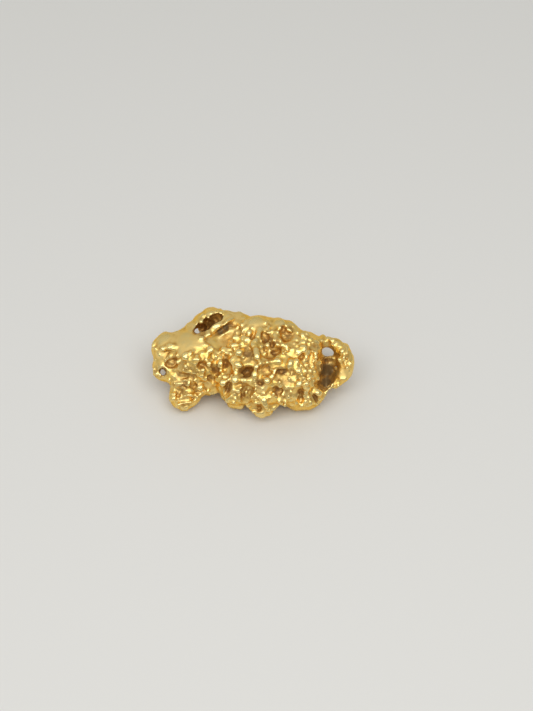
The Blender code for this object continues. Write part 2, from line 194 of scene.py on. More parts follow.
def bead_tree():
    tree = bpy.data.node_groups.new("beads_on_points", "GeometryNodeTree")
    face = tree.interface
    face.new_socket("Points", in_out="INPUT", socket_type="NodeSocketGeometry")
    roundness = face.new_socket("Roundness", in_out="INPUT", socket_type="NodeSocketInt")
    roundness.default_value = 3
    size = face.new_socket("Size", in_out="INPUT", socket_type="NodeSocketFloat")
    size.default_value = 1.0
    face.new_socket("Gold", in_out="INPUT", socket_type="NodeSocketMaterial")
    face.new_socket("Beads", in_out="OUTPUT", socket_type="NodeSocketGeometry")
    nodes, link = tree.nodes, tree.links.new
    given = nodes.new("NodeGroupInput")
    made = nodes.new("NodeGroupOutput")
    ball = nodes.new("GeometryNodeMeshIcoSphere")
    link(given.outputs["Roundness"], ball.inputs["Subdivisions"])
    radii = nodes.new("GeometryNodeInputNamedAttribute")
    radii.data_type = "FLOAT_VECTOR"
    radii.inputs["Name"].default_value = "radii"
    sized = nodes.new("ShaderNodeVectorMath")
    sized.operation = "SCALE"
    link(radii.outputs["Attribute"], sized.inputs["Vector"])
    link(given.outputs["Size"], sized.inputs["Scale"])
    turn = nodes.new("GeometryNodeInputNamedAttribute")
    turn.data_type = "FLOAT_VECTOR"
    turn.inputs["Name"].default_value = "turn"
    to_rotation = nodes.new("FunctionNodeEulerToRotation")
    link(turn.outputs["Attribute"], to_rotation.inputs["Euler"])
    copies = nodes.new("GeometryNodeInstanceOnPoints")
    link(given.outputs["Points"], copies.inputs["Points"])
    link(ball.outputs["Mesh"], copies.inputs["Instance"])
    link(to_rotation.outputs["Rotation"], copies.inputs["Rotation"])
    link(sized.outputs["Vector"], copies.inputs["Scale"])
    real = nodes.new("GeometryNodeRealizeInstances")
    link(copies.outputs["Instances"], real.inputs["Geometry"])
    paint = nodes.new("GeometryNodeSetMaterial")
    link(real.outputs["Geometry"], paint.inputs["Geometry"])
    link(given.outputs["Gold"], paint.inputs["Material"])
    link(paint.outputs["Geometry"], made.inputs["Beads"])
    return tree


def socket_key(tree, name):
    """The identifier by which a modifier knows one of the tree's inputs."""
    return next(item.identifier for item in tree.interface.items_tree if item.name == name)


BEADS = bead_tree()
BEAD_ROUNDNESS = 3
print("bead tree has", len(BEADS.nodes), "nodes")

# %% [markdown]
# A bead's row holds its place, its three radii and its turn. The rows become a mesh of bare
# vertices that carries them as attributes, the tree grows a bead on each vertex, and the
# result is kept as a plain mesh.

# %% Beads as a piece


def beads(name, shapes):
    """A mesh of ellipsoids from (place, radii, turn) rows, made by the bead tree.

    They get no material here, because they melt into the skin, which gets its gold at the end.
    """
    mesh = bpy.data.meshes.new(name)
    mesh.from_pydata([shape[0] for shape in shapes], [], [])
    radii = mesh.attributes.new("radii", "FLOAT_VECTOR", "POINT")
    radii.data.foreach_set("vector", np.array([shape[1] for shape in shapes], np.float32).ravel())
    turns = mesh.attributes.new("turn", "FLOAT_VECTOR", "POINT")
    eulers = [tuple(shape[2].to_euler()) for shape in shapes]
    turns.data.foreach_set("vector", np.array(eulers, np.float32).ravel())
    piece = new_piece(name, mesh)
    grow = piece.modifiers.new("grow", "NODES")
    grow.node_group = BEADS
    grow[socket_key(BEADS, "Roundness")] = BEAD_ROUNDNESS
    take_modifiers(piece)
    return piece


def sight_turn(degrees, tilt=0):
    """Turns Z towards the eye, or this much above it, and X this far from across."""
    lean = Matrix.Rotation(math.pi / 2 - SIGHT_DOWN - math.radians(tilt), 3, "X")
    return lean @ Matrix.Rotation(math.radians(degrees), 3, "Z")


print("beads are ready to be placed")

# %% [markdown]
# The best side is read region by region, as a carver would. Four kinds of mark are enough:
# beads (across, up, radius, and perhaps stretch and turn), ridges (radius and a path), pits
# (across, up, half length, half width, depth, turn) and grooves (half width, depth and a path).
# All are millimetres and degrees. Beads and ridges will be added to the skin, pits and grooves
# cut from it. Stones roll over the nugget from above, so each bead is flatter than it is wide
# and turns its worn top towards the sky. Beads near the outline are sunk, and those that would
# break it are left out, sooner along the upper outline than along the lower one.

# %% Beads on the best side
added = []
cut = []
BEAD_SWELL = 1.35
BEAD_FLATNESS = 0.60
BEAD_SINK = 0.02
BEAD_TILT = 9
# how squarely the ground has to face the eye to carry a bead, and how the bead's sinking grows
UPPER_EDGE = (0.42, 0.9)
LOWER_EDGE = (0.28, 0.6)
# a bead begins to lie down where the ground faces the eye less than this, over this span
STEEP_FACING = 0.85
STEEP_SPAN = 0.4


def sink_of_bead(normal):
    """The share of its radius by which a bead is sunk; None where it would break the outline."""
    facing = normal.dot(TO_EYE)
    least, most = UPPER_EDGE if normal.dot(UPWARD) > 0 else LOWER_EDGE
    return BEAD_SINK + most * (1 - facing) ** 2 if facing > least else None


def bead_turn(normal, degrees):
    """Turns a bead's flat side to the sky, but lays it on the ground where that is steep."""
    turn = sight_turn(degrees, BEAD_TILT)
    top = turn @ Vector((0, 0, 1))
    steep = min(max((STEEP_FACING - normal.dot(TO_EYE)) / STEEP_SPAN, 0), 1)
    return top.rotation_difference(top.lerp(normal, steep)).to_matrix() @ turn


def add_beads(*rows):
    for across, up, radius, *form in rows:
        radius *= BEAD_SWELL
        stretch, degrees = form if form else (1.0, 0)
        found = seen_point(surface, across, up)
        sink = sink_of_bead(found[1]) if found else None
        if sink is not None:
            radii = (radius * stretch, radius, radius * BEAD_FLATNESS)
            place = found[0] - sink * radius * found[1]
            added.append((place, radii, bead_turn(found[1], degrees)))


print("a bead that faces the eye sinks by", round(sink_of_bead(TO_EYE), 3), "of its radius")

# %% [markdown]
# A ridge is a row of beads and a groove a row of pits, close enough to melt into one another.
# Their sizes vary a little from one to the next, because an even row would look machined.

# %% Ridges, pits and grooves
RIDGE_STEP = 0.5
RIDGE_STRETCH = 1.3
RIDGE_SWELL = (1.0, 1.15)
PIT_DEPTH = 0.85
GROOVE_STEP = 0.8
GROOVE_STRETCH = 1.3
GROOVE_SWELL = (0.75, 1.2)
jitter = random.Random(5)


def along(path, step):
    """Places at about this step along a path of (across, up) points, with the path's turn."""
    for (across, up), (next_across, next_up) in zip(path, path[1:]):
        length = math.hypot(next_across - across, next_up - up)
        count = max(1, round(length / step))
        degrees = math.degrees(math.atan2(next_up - up, next_across - across))
        for index in range(count + 1):
            share = index / count
            yield across + share * (next_across - across), up + share * (next_up - up), degrees


def add_ridge(radius, *path):
    for across, up, degrees in along(path, RIDGE_STEP * radius):
        size = radius * jitter.uniform(*RIDGE_SWELL)
        add_beads((across, up, size, RIDGE_STRETCH, degrees))


def add_pits(*rows):
    for across, up, length, width, depth, degrees in rows:
        found = seen_point(surface, across, up)
        if found:
            cut.append((found[0], (length, width, PIT_DEPTH * depth), sight_turn(degrees)))


def add_groove(width, depth, *path):
    for across, up, degrees in along(path, GROOVE_STEP * width):
        size = jitter.uniform(*GROOVE_SWELL)
        length = GROOVE_STRETCH * width * size
        add_pits((across, up, length, width * size, depth * size, degrees))


def count_marks(region):
    print(region, "done:", len(added), "added and", len(cut), "cut so far")


count_marks("preparation")

# %% [markdown]
# The left knob is worn smooth, with a small flake hammered onto it, a striated pit below the
# flake, and a ring that opens right through at its foot.

# %% Left knob
add_beads(
    (-4.34, 0.79, 0.10, 1.5, 80), (-4.24, 0.62, 0.08), (-4.18, 1.06, 0.05, 2.0, 80),
    (-3.92, 0.61, 0.11), (-4.08, 0.35, 0.06), (-4.31, 0.12, 0.07), (-4.34, -0.27, 0.06),
    (-4.32, -0.49, 0.09), (-4.20, -0.50, 0.08), (-4.10, -0.62, 0.05), (-3.72, 0.80, 0.06),
)
add_ridge(0.075, (-3.66, 0.78), (-3.36, 0.68))
add_ridge(0.06, (-3.66, 0.67), (-3.46, 0.60))
add_pits((-3.98, -0.38, 0.25, 0.20, 0.16, 90), (-3.93, -0.36, 0.20, 0.15, 1.40, 80))
add_beads((-3.60, 0.08, 0.20, 1.2, -45))
add_ridge(0.05, (-3.80, 0.12), (-3.66, -0.04), (-3.54, -0.14))
add_ridge(0.05, (-3.72, 0.20), (-3.58, 0.04), (-3.44, -0.08))
add_ridge(0.05, (-3.60, 0.26), (-3.46, 0.12), (-3.36, 0.04))
add_groove(0.03, 0.08, (-3.76, 0.16), (-3.62, 0.00), (-3.49, -0.11))
add_groove(0.03, 0.08, (-3.66, 0.24), (-3.52, 0.08), (-3.40, -0.02))
add_groove(0.04, 0.11, (-3.95, 0.49), (-3.70, 0.46), (-3.46, 0.47))
add_groove(0.025, 0.05, (-3.68, 0.93), (-3.56, 1.10), (-3.44, 1.26))
count_marks("knob")

# %% [markdown]
# Right of the knob lie broad plates, flattened by years of pounding. A few bright beads and a
# crescent of folded metal stand on their lower edge, and fine ridges run down to the foot.

# %% Left plates
add_beads(
    (-2.94, 0.29, 0.15), (-2.75, 0.39, 0.08, 1.6, 80), (-3.25, 0.04, 0.09), (-1.86, 0.58, 0.14),
    (-2.93, -0.14, 0.09), (-3.03, -0.31, 0.07), (-2.18, -0.32, 0.10), (-2.24, -0.54, 0.11),
    (-1.91, -0.07, 0.11), (-2.30, 1.06, 0.07), (-2.18, 1.10, 0.08), (-2.05, 1.16, 0.08),
    (-1.93, 1.24, 0.09), (-1.97, 1.38, 0.07), (-2.12, 0.80, 0.06), (-1.97, 0.76, 0.06),
    (-2.20, 0.42, 0.07), (-1.63, 0.27, 0.09), (-1.60, -0.71, 0.11), (-1.50, -0.60, 0.08),
    (-2.44, 0.28, 0.09), (-2.05, 0.15, 0.07), (-1.66, -0.94, 0.07), (-2.62, 0.52, 0.06),
    (-1.78, 0.12, 0.06), (-3.12, 0.14, 0.06), (-2.02, -0.66, 0.07),
)
add_ridge(0.075, (-2.82, 0.12), (-2.68, 0.01), (-2.52, -0.03), (-2.34, 0.06))
add_ridge(0.08, (-2.64, 0.14), (-2.44, 0.14))
add_ridge(0.055, (-3.02, -0.44), (-2.80, -0.38), (-2.56, -0.45))
add_ridge(0.04, (-2.72, -0.14), (-2.55, -0.34), (-2.40, -0.58))
add_ridge(0.04, (-2.56, -0.12), (-2.42, -0.30), (-2.30, -0.46))
add_ridge(0.05, (-2.20, -0.70), (-1.85, -0.85), (-1.50, -1.08))
add_pits(
    (-2.26, -0.06, 0.13, 0.07, 0.14, -15), (-1.86, -0.66, 0.15, 0.06, 0.14, -10),
    (-1.46, -0.75, 0.07, 0.06, 0.14, 0), (-3.10, -0.16, 0.09, 0.06, 0.10, 20),
    (-3.34, -0.44, 0.18, 0.08, 0.12, -20),
)
add_groove(0.06, 0.17, (-1.77, -0.10), (-1.66, -0.28), (-1.54, -0.48))
add_groove(0.03, 0.06, (-1.73, 1.05), (-1.72, 0.85), (-1.68, 0.50))
add_groove(0.03, 0.07, (-2.64, -0.10), (-2.48, -0.31), (-2.34, -0.52))
add_groove(0.03, 0.07, (-2.86, -0.26), (-2.60, -0.32))
count_marks("plates")

# %% [markdown]
# Above the plates a strap of gold arches over an open cavity that once held quartz. A tongue
# of metal crosses its right end. The rim carries a row of small beads, and the inside is rough.

# %% Arch, cavity and tongue
add_beads(
    (-2.46, 1.98, 0.08), (-2.34, 2.01, 0.06), (-2.20, 2.05, 0.10), (-2.06, 2.09, 0.06),
    (-1.62, 2.26, 0.06), (-1.52, 2.31, 0.07), (-1.42, 2.22, 0.06), (-1.28, 2.26, 0.08),
    (-1.38, 2.20, 0.06), (-2.66, 1.84, 0.06), (-0.46, 1.95, 0.10, 1.5, -20), (-0.51, 1.67, 0.08),
    (0.55, 1.75, 0.08), (-0.89, 1.91, 0.08), (-2.10, 1.86, 0.08), (-1.86, 1.76, 0.07),
    (-2.30, 1.72, 0.08), (-1.72, 1.96, 0.07), (-2.02, 1.62, 0.07), (-1.52, 2.06, 0.07),
    (-2.38, 1.58, 0.07), (-1.94, 1.98, 0.06),
)
add_ridge(0.06, (-1.98, 2.12), (-1.82, 2.20))
add_beads(
    (-1.90, 1.92, 0.12, 1.2, 35), (-1.66, 2.08, 0.11, 1.2, 20), (-2.36, 1.66, 0.09),
    (-2.26, 1.80, 0.09), (-2.16, 1.66, 0.08), (-2.06, 1.78, 0.09), (-1.96, 1.90, 0.08),
    (-1.90, 1.72, 0.08), (-1.80, 1.88, 0.08), (-1.70, 2.00, 0.09), (-1.62, 1.86, 0.08),
    (-1.48, 1.98, 0.08), (-2.40, 1.50, 0.07), (-2.12, 1.50, 0.08),
)
add_ridge(0.06, (-1.25, 1.66), (-1.12, 1.78), (-1.00, 1.88))
add_pits(
    (-2.20, 1.50, 0.18, 0.13, 0.40, 40), (-0.84, 1.66, 0.26, 0.11, 0.14, 35),
    (-1.98, 1.84, 0.08, 0.05, 0.20, 30),
)
add_groove(0.05, 0.16, (-1.66, 1.24), (-1.42, 1.40))
add_groove(0.08, 0.20, (-1.36, 1.44), (-1.22, 1.53), (-1.00, 1.68))
add_groove(0.05, 0.14, (-0.96, 1.72), (-0.74, 1.88))
add_groove(0.03, 0.09, (-1.13, 2.20), (-1.02, 2.16), (-0.92, 2.09))
count_marks("arch")

# %% [markdown]
# The middle is the roughest part, a crowd of beads round deep pits. One S-shaped ridge is the
# brightest thing on the nugget. Facets of former crystals show between the beads.

# %% Middle
add_beads(
    (-0.37, 1.45, 0.08, 1.7, 45), (-0.44, 1.31, 0.09), (-0.17, 1.31, 0.12),
    (-0.72, 1.08, 0.11, 1.5, 0), (-0.40, 1.04, 0.14), (-0.26, 0.98, 0.14), (-0.24, 1.12, 0.10),
    (-0.52, 0.83, 0.08), (-0.81, 0.75, 0.11, 1.4, 10), (-0.79, 0.56, 0.07),
    (-0.62, 0.43, 0.14), (-0.49, 0.53, 0.11),
    (-0.58, 0.32, 0.09), (-1.28, 0.59, 0.13), (-1.14, 0.44, 0.11), (-1.06, 0.56, 0.09),
    (-1.00, 0.40, 0.07), (0.33, 0.69, 0.11), (0.63, 0.76, 0.13), (0.52, 0.41, 0.09),
    (0.48, 1.40, 0.08), (0.70, 1.30, 0.08, 1.6, 0), (0.83, 1.35, 0.09), (0.97, 1.16, 0.09, 1.4, -60),
    (1.17, 1.52, 0.09), (1.07, 1.33, 0.08), (1.18, 1.23, 0.08), (1.29, 0.76, 0.09),
    (1.44, 0.71, 0.10), (1.74, 0.57, 0.10), (-1.41, 0.21, 0.10), (-1.41, -0.01, 0.13),
    (-1.48, -0.13, 0.08), (-1.46, -0.24, 0.08), (-1.39, -0.34, 0.08), (-0.64, -0.08, 0.12, 1.4, -30),
    (0.15, -0.18, 0.11), (0.97, -0.36, 0.09, 1.3, 80), (1.08, 0.08, 0.11, 1.4, -10),
    (0.70, 0.52, 0.08), (0.90, 0.66, 0.08), (0.82, 0.50, 0.07), (1.05, 0.78, 0.08), (0.92, 0.98, 0.08),
    (0.34, 0.98, 0.08), (0.40, 0.55, 0.07), (-1.24, -0.62, 0.10), (-1.31, -0.87, 0.13),
    (-0.78, -0.74, 0.15), (-0.72, -0.58, 0.10), (-0.74, -0.42, 0.10), (-0.72, -0.28, 0.08),
    (-0.41, -0.76, 0.09, 1.7, 0), (-0.90, 0.20, 0.07), (-0.40, 0.22, 0.08), (0.62, -0.78, 0.13),
    (0.80, -0.60, 0.09, 1.6, 35), (0.30, -0.02, 0.08), (0.62, 0.02, 0.08), (1.32, 0.42, 0.07),
    (-1.52, 0.42, 0.07), (-0.98, 0.96, 0.07), (-1.02, 0.78, 0.06), (-0.14, 0.82, 0.07),
    (0.80, 0.06, 0.07), (-0.94, -0.56, 0.07), (-1.06, -0.74, 0.07), (1.18, 1.00, 0.07),
    (0.50, -0.60, 0.07), (-0.04, 1.52, 0.07), (0.72, 1.58, 0.06), (-0.72, 1.34, 0.06),
)
add_beads((0.06, -0.36, 0.14, 1.2, 20), (0.08, -0.52, 0.13), (-0.52, -0.58, 0.11))
add_ridge(0.10, (0.30, 1.40), (0.20, 1.09))
add_ridge(0.11, (0.10, 0.92), (0.02, 0.78), (0.10, 0.63), (0.16, 0.47), (0.18, 0.28))
add_ridge(0.06, (-1.04, 0.11), (-0.93, 0.03), (-0.86, -0.10), (-0.86, -0.22))
add_ridge(0.09, (1.66, 0.12), (1.60, -0.12))
add_ridge(0.05, (-0.24, -0.66), (-0.10, -0.80))
add_ridge(0.05, (-0.08, -0.62), (0.08, -0.78))
add_pits(
    (-1.20, 0.02, 0.16, 0.08, 0.26, 78), (-1.22, -0.30, 0.12, 0.07, 0.18, 50),
    (-1.12, 0.24, 0.10, 0.06, 0.20, 60), (1.34, 1.50, 0.11, 0.07, 0.22, 85),
    (1.36, 1.08, 0.13, 0.07, 0.20, 10), (1.72, 1.56, 0.12, 0.06, 0.16, -10),
    (-0.13, 0.62, 0.12, 0.08, 0.22, -30), (0.00, 1.14, 0.06, 0.09, 0.14, 0),
    (0.32, -0.90, 0.17, 0.07, 0.24, -15), (-0.34, -0.98, 0.09, 0.05, 0.12, 0),
    (0.42, 1.20, 0.05, 0.08, 0.14, 0), (-0.30, 0.14, 0.13, 0.10, 0.08, 70),
    (-0.14, 0.24, 0.11, 0.08, 0.07, 80), (1.52, 1.28, 0.20, 0.05, 0.16, -5),
    (0.60, 1.08, 0.15, 0.07, 0.14, 75), (0.84, 0.76, 0.13, 0.08, 0.14, -60),
    (0.90, 0.42, 0.12, 0.07, 0.12, 40), (0.70, 0.28, 0.10, 0.07, 0.12, -30),
)
add_beads((0.72, 0.92, 0.08), (0.96, 0.60, 0.09), (0.72, 0.52, 0.10), (0.80, 0.34, 0.07))
add_groove(0.06, 0.16, (0.24, -0.32), (0.48, -0.22), (0.68, -0.17), (0.90, -0.22))
add_pits((1.26, -0.38, 0.28, 0.10, 0.24, 8), (0.58, -0.20, 0.24, 0.05, 0.18, 4))
add_groove(0.035, 0.12, (1.02, -0.54), (1.16, -0.38), (1.30, -0.34), (1.50, -0.44), (1.90, -0.48))
add_groove(0.035, 0.12, (0.70, -0.72), (0.88, -0.56))
count_marks("middle")

# %% [markdown]
# The right shoulder falls from a smooth brow to a rough column of beads beside the handle.

# %% Right shoulder and column
add_beads(
    (1.97, 0.48, 0.15), (2.19, 0.61, 0.16), (2.37, 0.48, 0.13), (2.16, 0.86, 0.12, 1.2, 20),
    (1.94, 1.31, 0.08), (2.16, 1.21, 0.10), (2.36, 1.31, 0.09), (2.32, 1.08, 0.07),
    (2.31, 0.24, 0.09), (1.97, -0.33, 0.14), (2.26, -0.36, 0.10), (2.48, -0.34, 0.10),
    (2.88, 1.11, 0.09), (2.85, 0.89, 0.09), (2.70, 1.16, 0.08), (3.02, 0.98, 0.07),
    (2.73, 0.43, 0.08, 1.4, 80), (2.73, 0.25, 0.09), (2.58, 0.50, 0.05, 2.2, 80),
    (2.48, 0.80, 0.05, 2.0, 85), (2.60, 0.88, 0.06), (1.57, 1.43, 0.08, 1.8, -40),
    (2.95, 0.00, 0.07, 1.8, -5),
    (2.94, -0.26, 0.06, 2.2, -40), (2.88, -0.71, 0.09), (2.00, -0.91, 0.11, 1.4, 45),
    (1.84, -1.05, 0.08), (2.34, -0.90, 0.10), (2.25, -1.08, 0.09), (2.42, -1.12, 0.09),
    (2.30, -1.28, 0.10), (2.50, -1.30, 0.09), (2.24, -1.44, 0.09), (2.40, -1.50, 0.10),
    (2.30, -1.66, 0.10), (2.48, -1.68, 0.09), (2.56, -1.52, 0.08), (2.62, -0.98, 0.07),
    (2.66, -0.78, 0.07), (2.60, -0.60, 0.08), (2.46, -0.66, 0.09), (2.20, -0.66, 0.08),
    (2.62, -0.16, 0.07), (2.62, 0.06, 0.06), (2.36, -0.08, 0.07), (2.10, -0.12, 0.07),
    (1.86, -1.56, 0.10), (1.87, -1.72, 0.10), (1.98, -1.38, 0.08), (2.12, -1.84, 0.10),
    (2.30, -1.86, 0.08, 1.8, 0), (2.91, -1.61, 0.09), (3.05, -1.58, 0.07), (2.70, -1.76, 0.08),
    (2.82, -1.80, 0.07), (3.18, -1.34, 0.06, 2.0, 80), (2.42, 0.66, 0.07), (1.94, 0.78, 0.07),
    (2.14, -1.02, 0.07), (2.72, -0.40, 0.06), (2.78, 0.08, 0.06), (1.80, 0.86, 0.06),
    (2.12, -0.50, 0.07), (1.90, 1.02, 0.06), (2.56, 1.06, 0.06),
)
add_ridge(0.10, (1.93, 0.13), (1.82, -0.13))
add_ridge(0.06, (2.60, -1.36), (2.66, -1.56), (2.62, -1.70))
add_pits(
    (2.11, 0.27, 0.12, 0.06, 0.20, -62), (2.76, 0.72, 0.12, 0.06, 0.20, -15),
    (2.36, -0.60, 0.08, 0.05, 0.14, -60), (1.74, -1.80, 0.08, 0.05, 0.12, 0),
    (1.92, -1.22, 0.10, 0.05, 0.14, 70), (2.08, -1.66, 0.09, 0.05, 0.12, 80),
    (3.22, 0.02, 0.16, 0.14, 0.20, 90),
)
add_groove(0.05, 0.16, (2.10, -1.02), (2.06, -1.25), (2.10, -1.55))
add_groove(0.05, 0.17, (2.62, -1.38), (2.74, -1.55), (2.82, -1.72))
add_groove(0.03, 0.10, (2.36, 0.92), (2.40, 0.68))
add_groove(0.03, 0.09, (2.52, 0.72), (2.64, 0.20))
count_marks("shoulder")

# %% [markdown]
# The front hangs low in a row of small lobes. They are crumbly, with one round pit and one
# smooth drop at the lowest place.

# %% Front row
add_beads(
    (1.19, -1.05, 0.11), (1.51, -1.05, 0.10), (0.88, -1.35, 0.08), (1.57, -1.51, 0.10),
    (1.40, -1.70, 0.07), (1.39, -1.84, 0.08), (0.48, -1.62, 0.12), (0.54, -1.78, 0.12),
    (0.58, -1.92, 0.10), (0.02, -1.72, 0.08), (0.14, -1.72, 0.09), (0.26, -1.72, 0.08),
    (-0.19, -1.85, 0.11), (-0.50, -1.98, 0.10), (-0.42, -2.05, 0.08), (0.90, -1.94, 0.09, 1.5, 80),
    (0.68, -2.06, 0.09), (0.76, -2.20, 0.07), (1.06, -1.90, 0.08), (1.22, -1.98, 0.08),
    (-0.61, -1.58, 0.11), (-0.60, -1.40, 0.09), (-0.64, -1.24, 0.09), (-0.78, -1.36, 0.08),
    (-0.84, -1.16, 0.09), (-0.86, -0.98, 0.08), (-0.78, -1.54, 0.08), (-0.92, -1.44, 0.08),
    (-1.11, -1.65, 0.10), (-0.98, -1.82, 0.09), (-0.84, -1.72, 0.08), (-0.71, -1.82, 0.09),
    (-1.02, -1.56, 0.07), (-0.58, -1.72, 0.08), (0.05, -1.34, 0.07), (0.22, -1.48, 0.08),
    (-0.06, -1.50, 0.07), (0.10, -1.16, 0.06), (0.48, -1.32, 0.07), (1.30, -1.38, 0.08),
    (1.64, -1.24, 0.08), (1.66, -1.66, 0.08), (1.76, -1.50, 0.07), (-0.20, -1.12, 0.06),
    (0.72, -1.52, 0.07), (1.16, -1.70, 0.08), (1.36, -1.22, 0.07), (1.70, -1.06, 0.07),
    (-0.52, -1.06, 0.07), (-0.30, -1.28, 0.07), (0.00, -2.14, 0.07), (1.52, -1.88, 0.07),
    (1.58, -0.70, 0.06), (0.12, -0.98, 0.06), (0.40, -1.12, 0.06),
)
add_pits(
    (0.25, -1.99, 0.13, 0.12, 0.20, 0), (-0.42, -1.83, 0.15, 0.07, 0.18, 5),
    (-0.44, -1.44, 0.12, 0.08, 0.14, 75), (-0.18, -1.40, 0.09, 0.07, 0.12, 60),
    (0.70, -1.68, 0.12, 0.05, 0.16, 80), (1.25, -1.22, 0.08, 0.06, 0.14, 0),
    (1.27, -1.76, 0.10, 0.07, 0.16, 20), (1.50, -1.28, 0.09, 0.05, 0.12, 80),
    (0.22, -1.32, 0.08, 0.05, 0.10, 0), (0.92, -1.62, 0.06, 0.06, 0.12, 0),
)
add_groove(0.055, 0.14, (-1.04, -0.88), (-1.11, -1.10), (-1.22, -1.34))
add_groove(0.045, 0.12, (0.97, -1.00), (1.02, -1.22), (1.10, -1.38), (1.14, -1.56))
add_groove(0.03, 0.07, (0.28, -2.32), (0.46, -2.29), (0.62, -2.26))
add_groove(0.03, 0.08, (-1.32, -1.60), (-1.22, -1.76), (-1.08, -1.84))
count_marks("front")

# %% [markdown]
# The foot at the lower left is folded like crumpled foil, with sharp little ridges, a bright
# face, and a crease that runs right round its toe.

# %% Foot
add_beads(
    (-2.31, -1.06, 0.14), (-3.65, -0.72, 0.06, 1.6, 80), (-3.64, -0.84, 0.06),
    (-3.45, -1.36, 0.07, 1.6, 0), (-3.45, -1.53, 0.09, 1.3, 70), (-3.65, -1.51, 0.06),
    (-3.60, -1.65, 0.07), (-3.62, -1.36, 0.06), (-3.23, -1.83, 0.08), (-3.33, -1.95, 0.06),
    (-3.56, -1.02, 0.06), (-3.08, -1.10, 0.06), (-2.90, -1.22, 0.07), (-3.16, -1.52, 0.06),
    (-2.66, -1.42, 0.08), (-2.45, -1.46, 0.08), (-2.72, -1.16, 0.06), (-2.18, -1.26, 0.06),
    (-2.95, -0.74, 0.06, 1.8, 10), (-3.24, -0.98, 0.05, 1.6, 0), (-2.54, -0.76, 0.06),
    (-2.44, -0.88, 0.05), (-1.98, -1.22, 0.05, 1.6, 0), (-3.14, -1.36, 0.05),
    (-2.30, -1.38, 0.06), (-2.58, -1.22, 0.06),
)
add_ridge(0.045, (-2.76, -0.66), (-2.79, -0.82))
add_ridge(0.065, (-2.79, -0.86), (-2.83, -1.00))
add_ridge(0.04, (-3.34, -1.02), (-3.44, -1.18), (-3.54, -1.28))
add_ridge(0.04, (-3.50, -1.06), (-3.58, -1.20))
add_ridge(0.05, (-2.98, -1.44), (-2.72, -1.40))
add_ridge(0.05, (-1.82, -1.37), (-1.58, -1.33))
add_ridge(0.055, (-3.40, -0.88), (-3.10, -0.90), (-2.92, -0.96))
add_ridge(0.05, (-3.12, -1.78), (-2.80, -1.74), (-2.50, -1.62))
add_pits(
    (-3.50, -0.74, 0.13, 0.05, 0.14, -40), (-3.02, -0.98, 0.08, 0.05, 0.16, 0),
    (-2.55, -1.00, 0.12, 0.06, 0.18, 20), (-2.11, -1.16, 0.10, 0.06, 0.20, 30),
    (-3.15, -1.23, 0.09, 0.06, 0.16, 25), (-3.30, -1.41, 0.06, 0.06, 0.14, 0),
    (-2.63, -1.55, 0.08, 0.05, 0.14, 40), (-2.46, -1.28, 0.14, 0.09, 0.12, -10),
    (-3.20, -0.62, 0.16, 0.06, 0.10, -10),
)
add_groove(0.03, 0.10, (-3.36, -1.10), (-3.48, -1.26))
add_groove(0.045, 0.16, (-3.22, -1.91), (-3.02, -1.88), (-2.80, -1.85))
add_groove(0.03, 0.14, (-2.80, -1.85), (-2.56, -1.76), (-2.34, -1.64))
add_groove(0.03, 0.10, (-3.06, -1.98), (-2.88, -1.99), (-2.70, -1.96))
add_groove(0.03, 0.10, (-2.14, -1.38), (-1.98, -1.36), (-1.84, -1.30))
count_marks("foot")

# %% [markdown]
# At the right end the gold bends back on itself and makes a looped handle, with a curl of fine
# ridges where it turns and a polished outer bend. Its lower end is twisted like a rope.

# %% Looped handle
add_beads(
    (3.50, 0.98, 0.09), (3.40, 0.96, 0.07), (3.64, 0.90, 0.07), (3.77, 0.14, 0.09),
    (4.15, 0.15, 0.08), (4.25, -0.04, 0.08), (4.11, -0.20, 0.08), (4.03, -0.04, 0.06),
    (3.92, -0.69, 0.07, 2.2, 0), (3.72, -0.98, 0.08), (3.46, -0.94, 0.06), (3.58, -1.10, 0.06),
    (3.36, -1.10, 0.06), (4.02, 0.92, 0.05, 2.0, -40), (4.22, 0.72, 0.05), (4.02, 0.06, 0.06),
    (3.82, 0.40, 0.07), (3.14, 0.92, 0.06), (3.56, 0.60, 0.06), (4.20, -0.36, 0.05),
    (3.44, 0.78, 0.06), (3.24, -1.22, 0.06),
)
add_ridge(0.06, (3.24, 1.10), (3.42, 1.08))
add_ridge(0.06, (3.56, 0.72), (3.64, 0.86), (3.80, 0.88), (3.94, 0.78), (3.98, 0.64))
add_ridge(0.055, (3.66, 0.66), (3.74, 0.54), (3.88, 0.50), (3.94, 0.58))
add_ridge(0.05, (3.74, 0.74), (3.84, 0.70))
add_ridge(0.065, (4.12, 0.64), (4.09, 0.44), (3.97, 0.22))
add_ridge(0.055, (3.28, -0.64), (3.42, -0.62), (3.46, -0.78), (3.32, -0.84), (3.28, -0.64))
add_ridge(0.05, (3.14, -1.16), (3.30, -1.00), (3.44, -0.86))
add_ridge(0.05, (3.20, 0.22), (3.36, 0.28), (3.50, 0.20))
add_pits((3.08, 1.12, 0.10, 0.05, 0.10, 70), (4.04, 0.34, 0.04, 0.10, 0.08, -20))
add_groove(0.025, 0.09, (4.18, 0.52), (4.22, 0.36), (4.30, 0.16))
add_groove(0.03, 0.09, (4.20, 0.60), (4.17, 0.40), (4.06, 0.16))
add_groove(0.03, 0.08, (3.30, -1.26), (3.44, -1.18), (3.62, -1.02))
add_groove(0.03, 0.09, (3.30, 0.92), (3.36, 0.78))
count_marks("handle")

# %% [markdown]
# Wear, stain and painted shade will be laid over whole regions. NumPy handles all the vertices
# of the skin at once, and a region is a few round patches, placed as the eye sees them, that fade
# outwards.

# %% Places, normals and patches of the skin


def vertex_arrays(piece):
    count = len(piece.data.vertices)
    places = np.empty(3 * count, np.float32)
    normals = np.empty(3 * count, np.float32)
    piece.data.vertices.foreach_get("co", places)
    piece.data.vertex_normals.foreach_get("vector", normals)
    return places.reshape(-1, 3).astype(float), normals.reshape(-1, 3).astype(float)


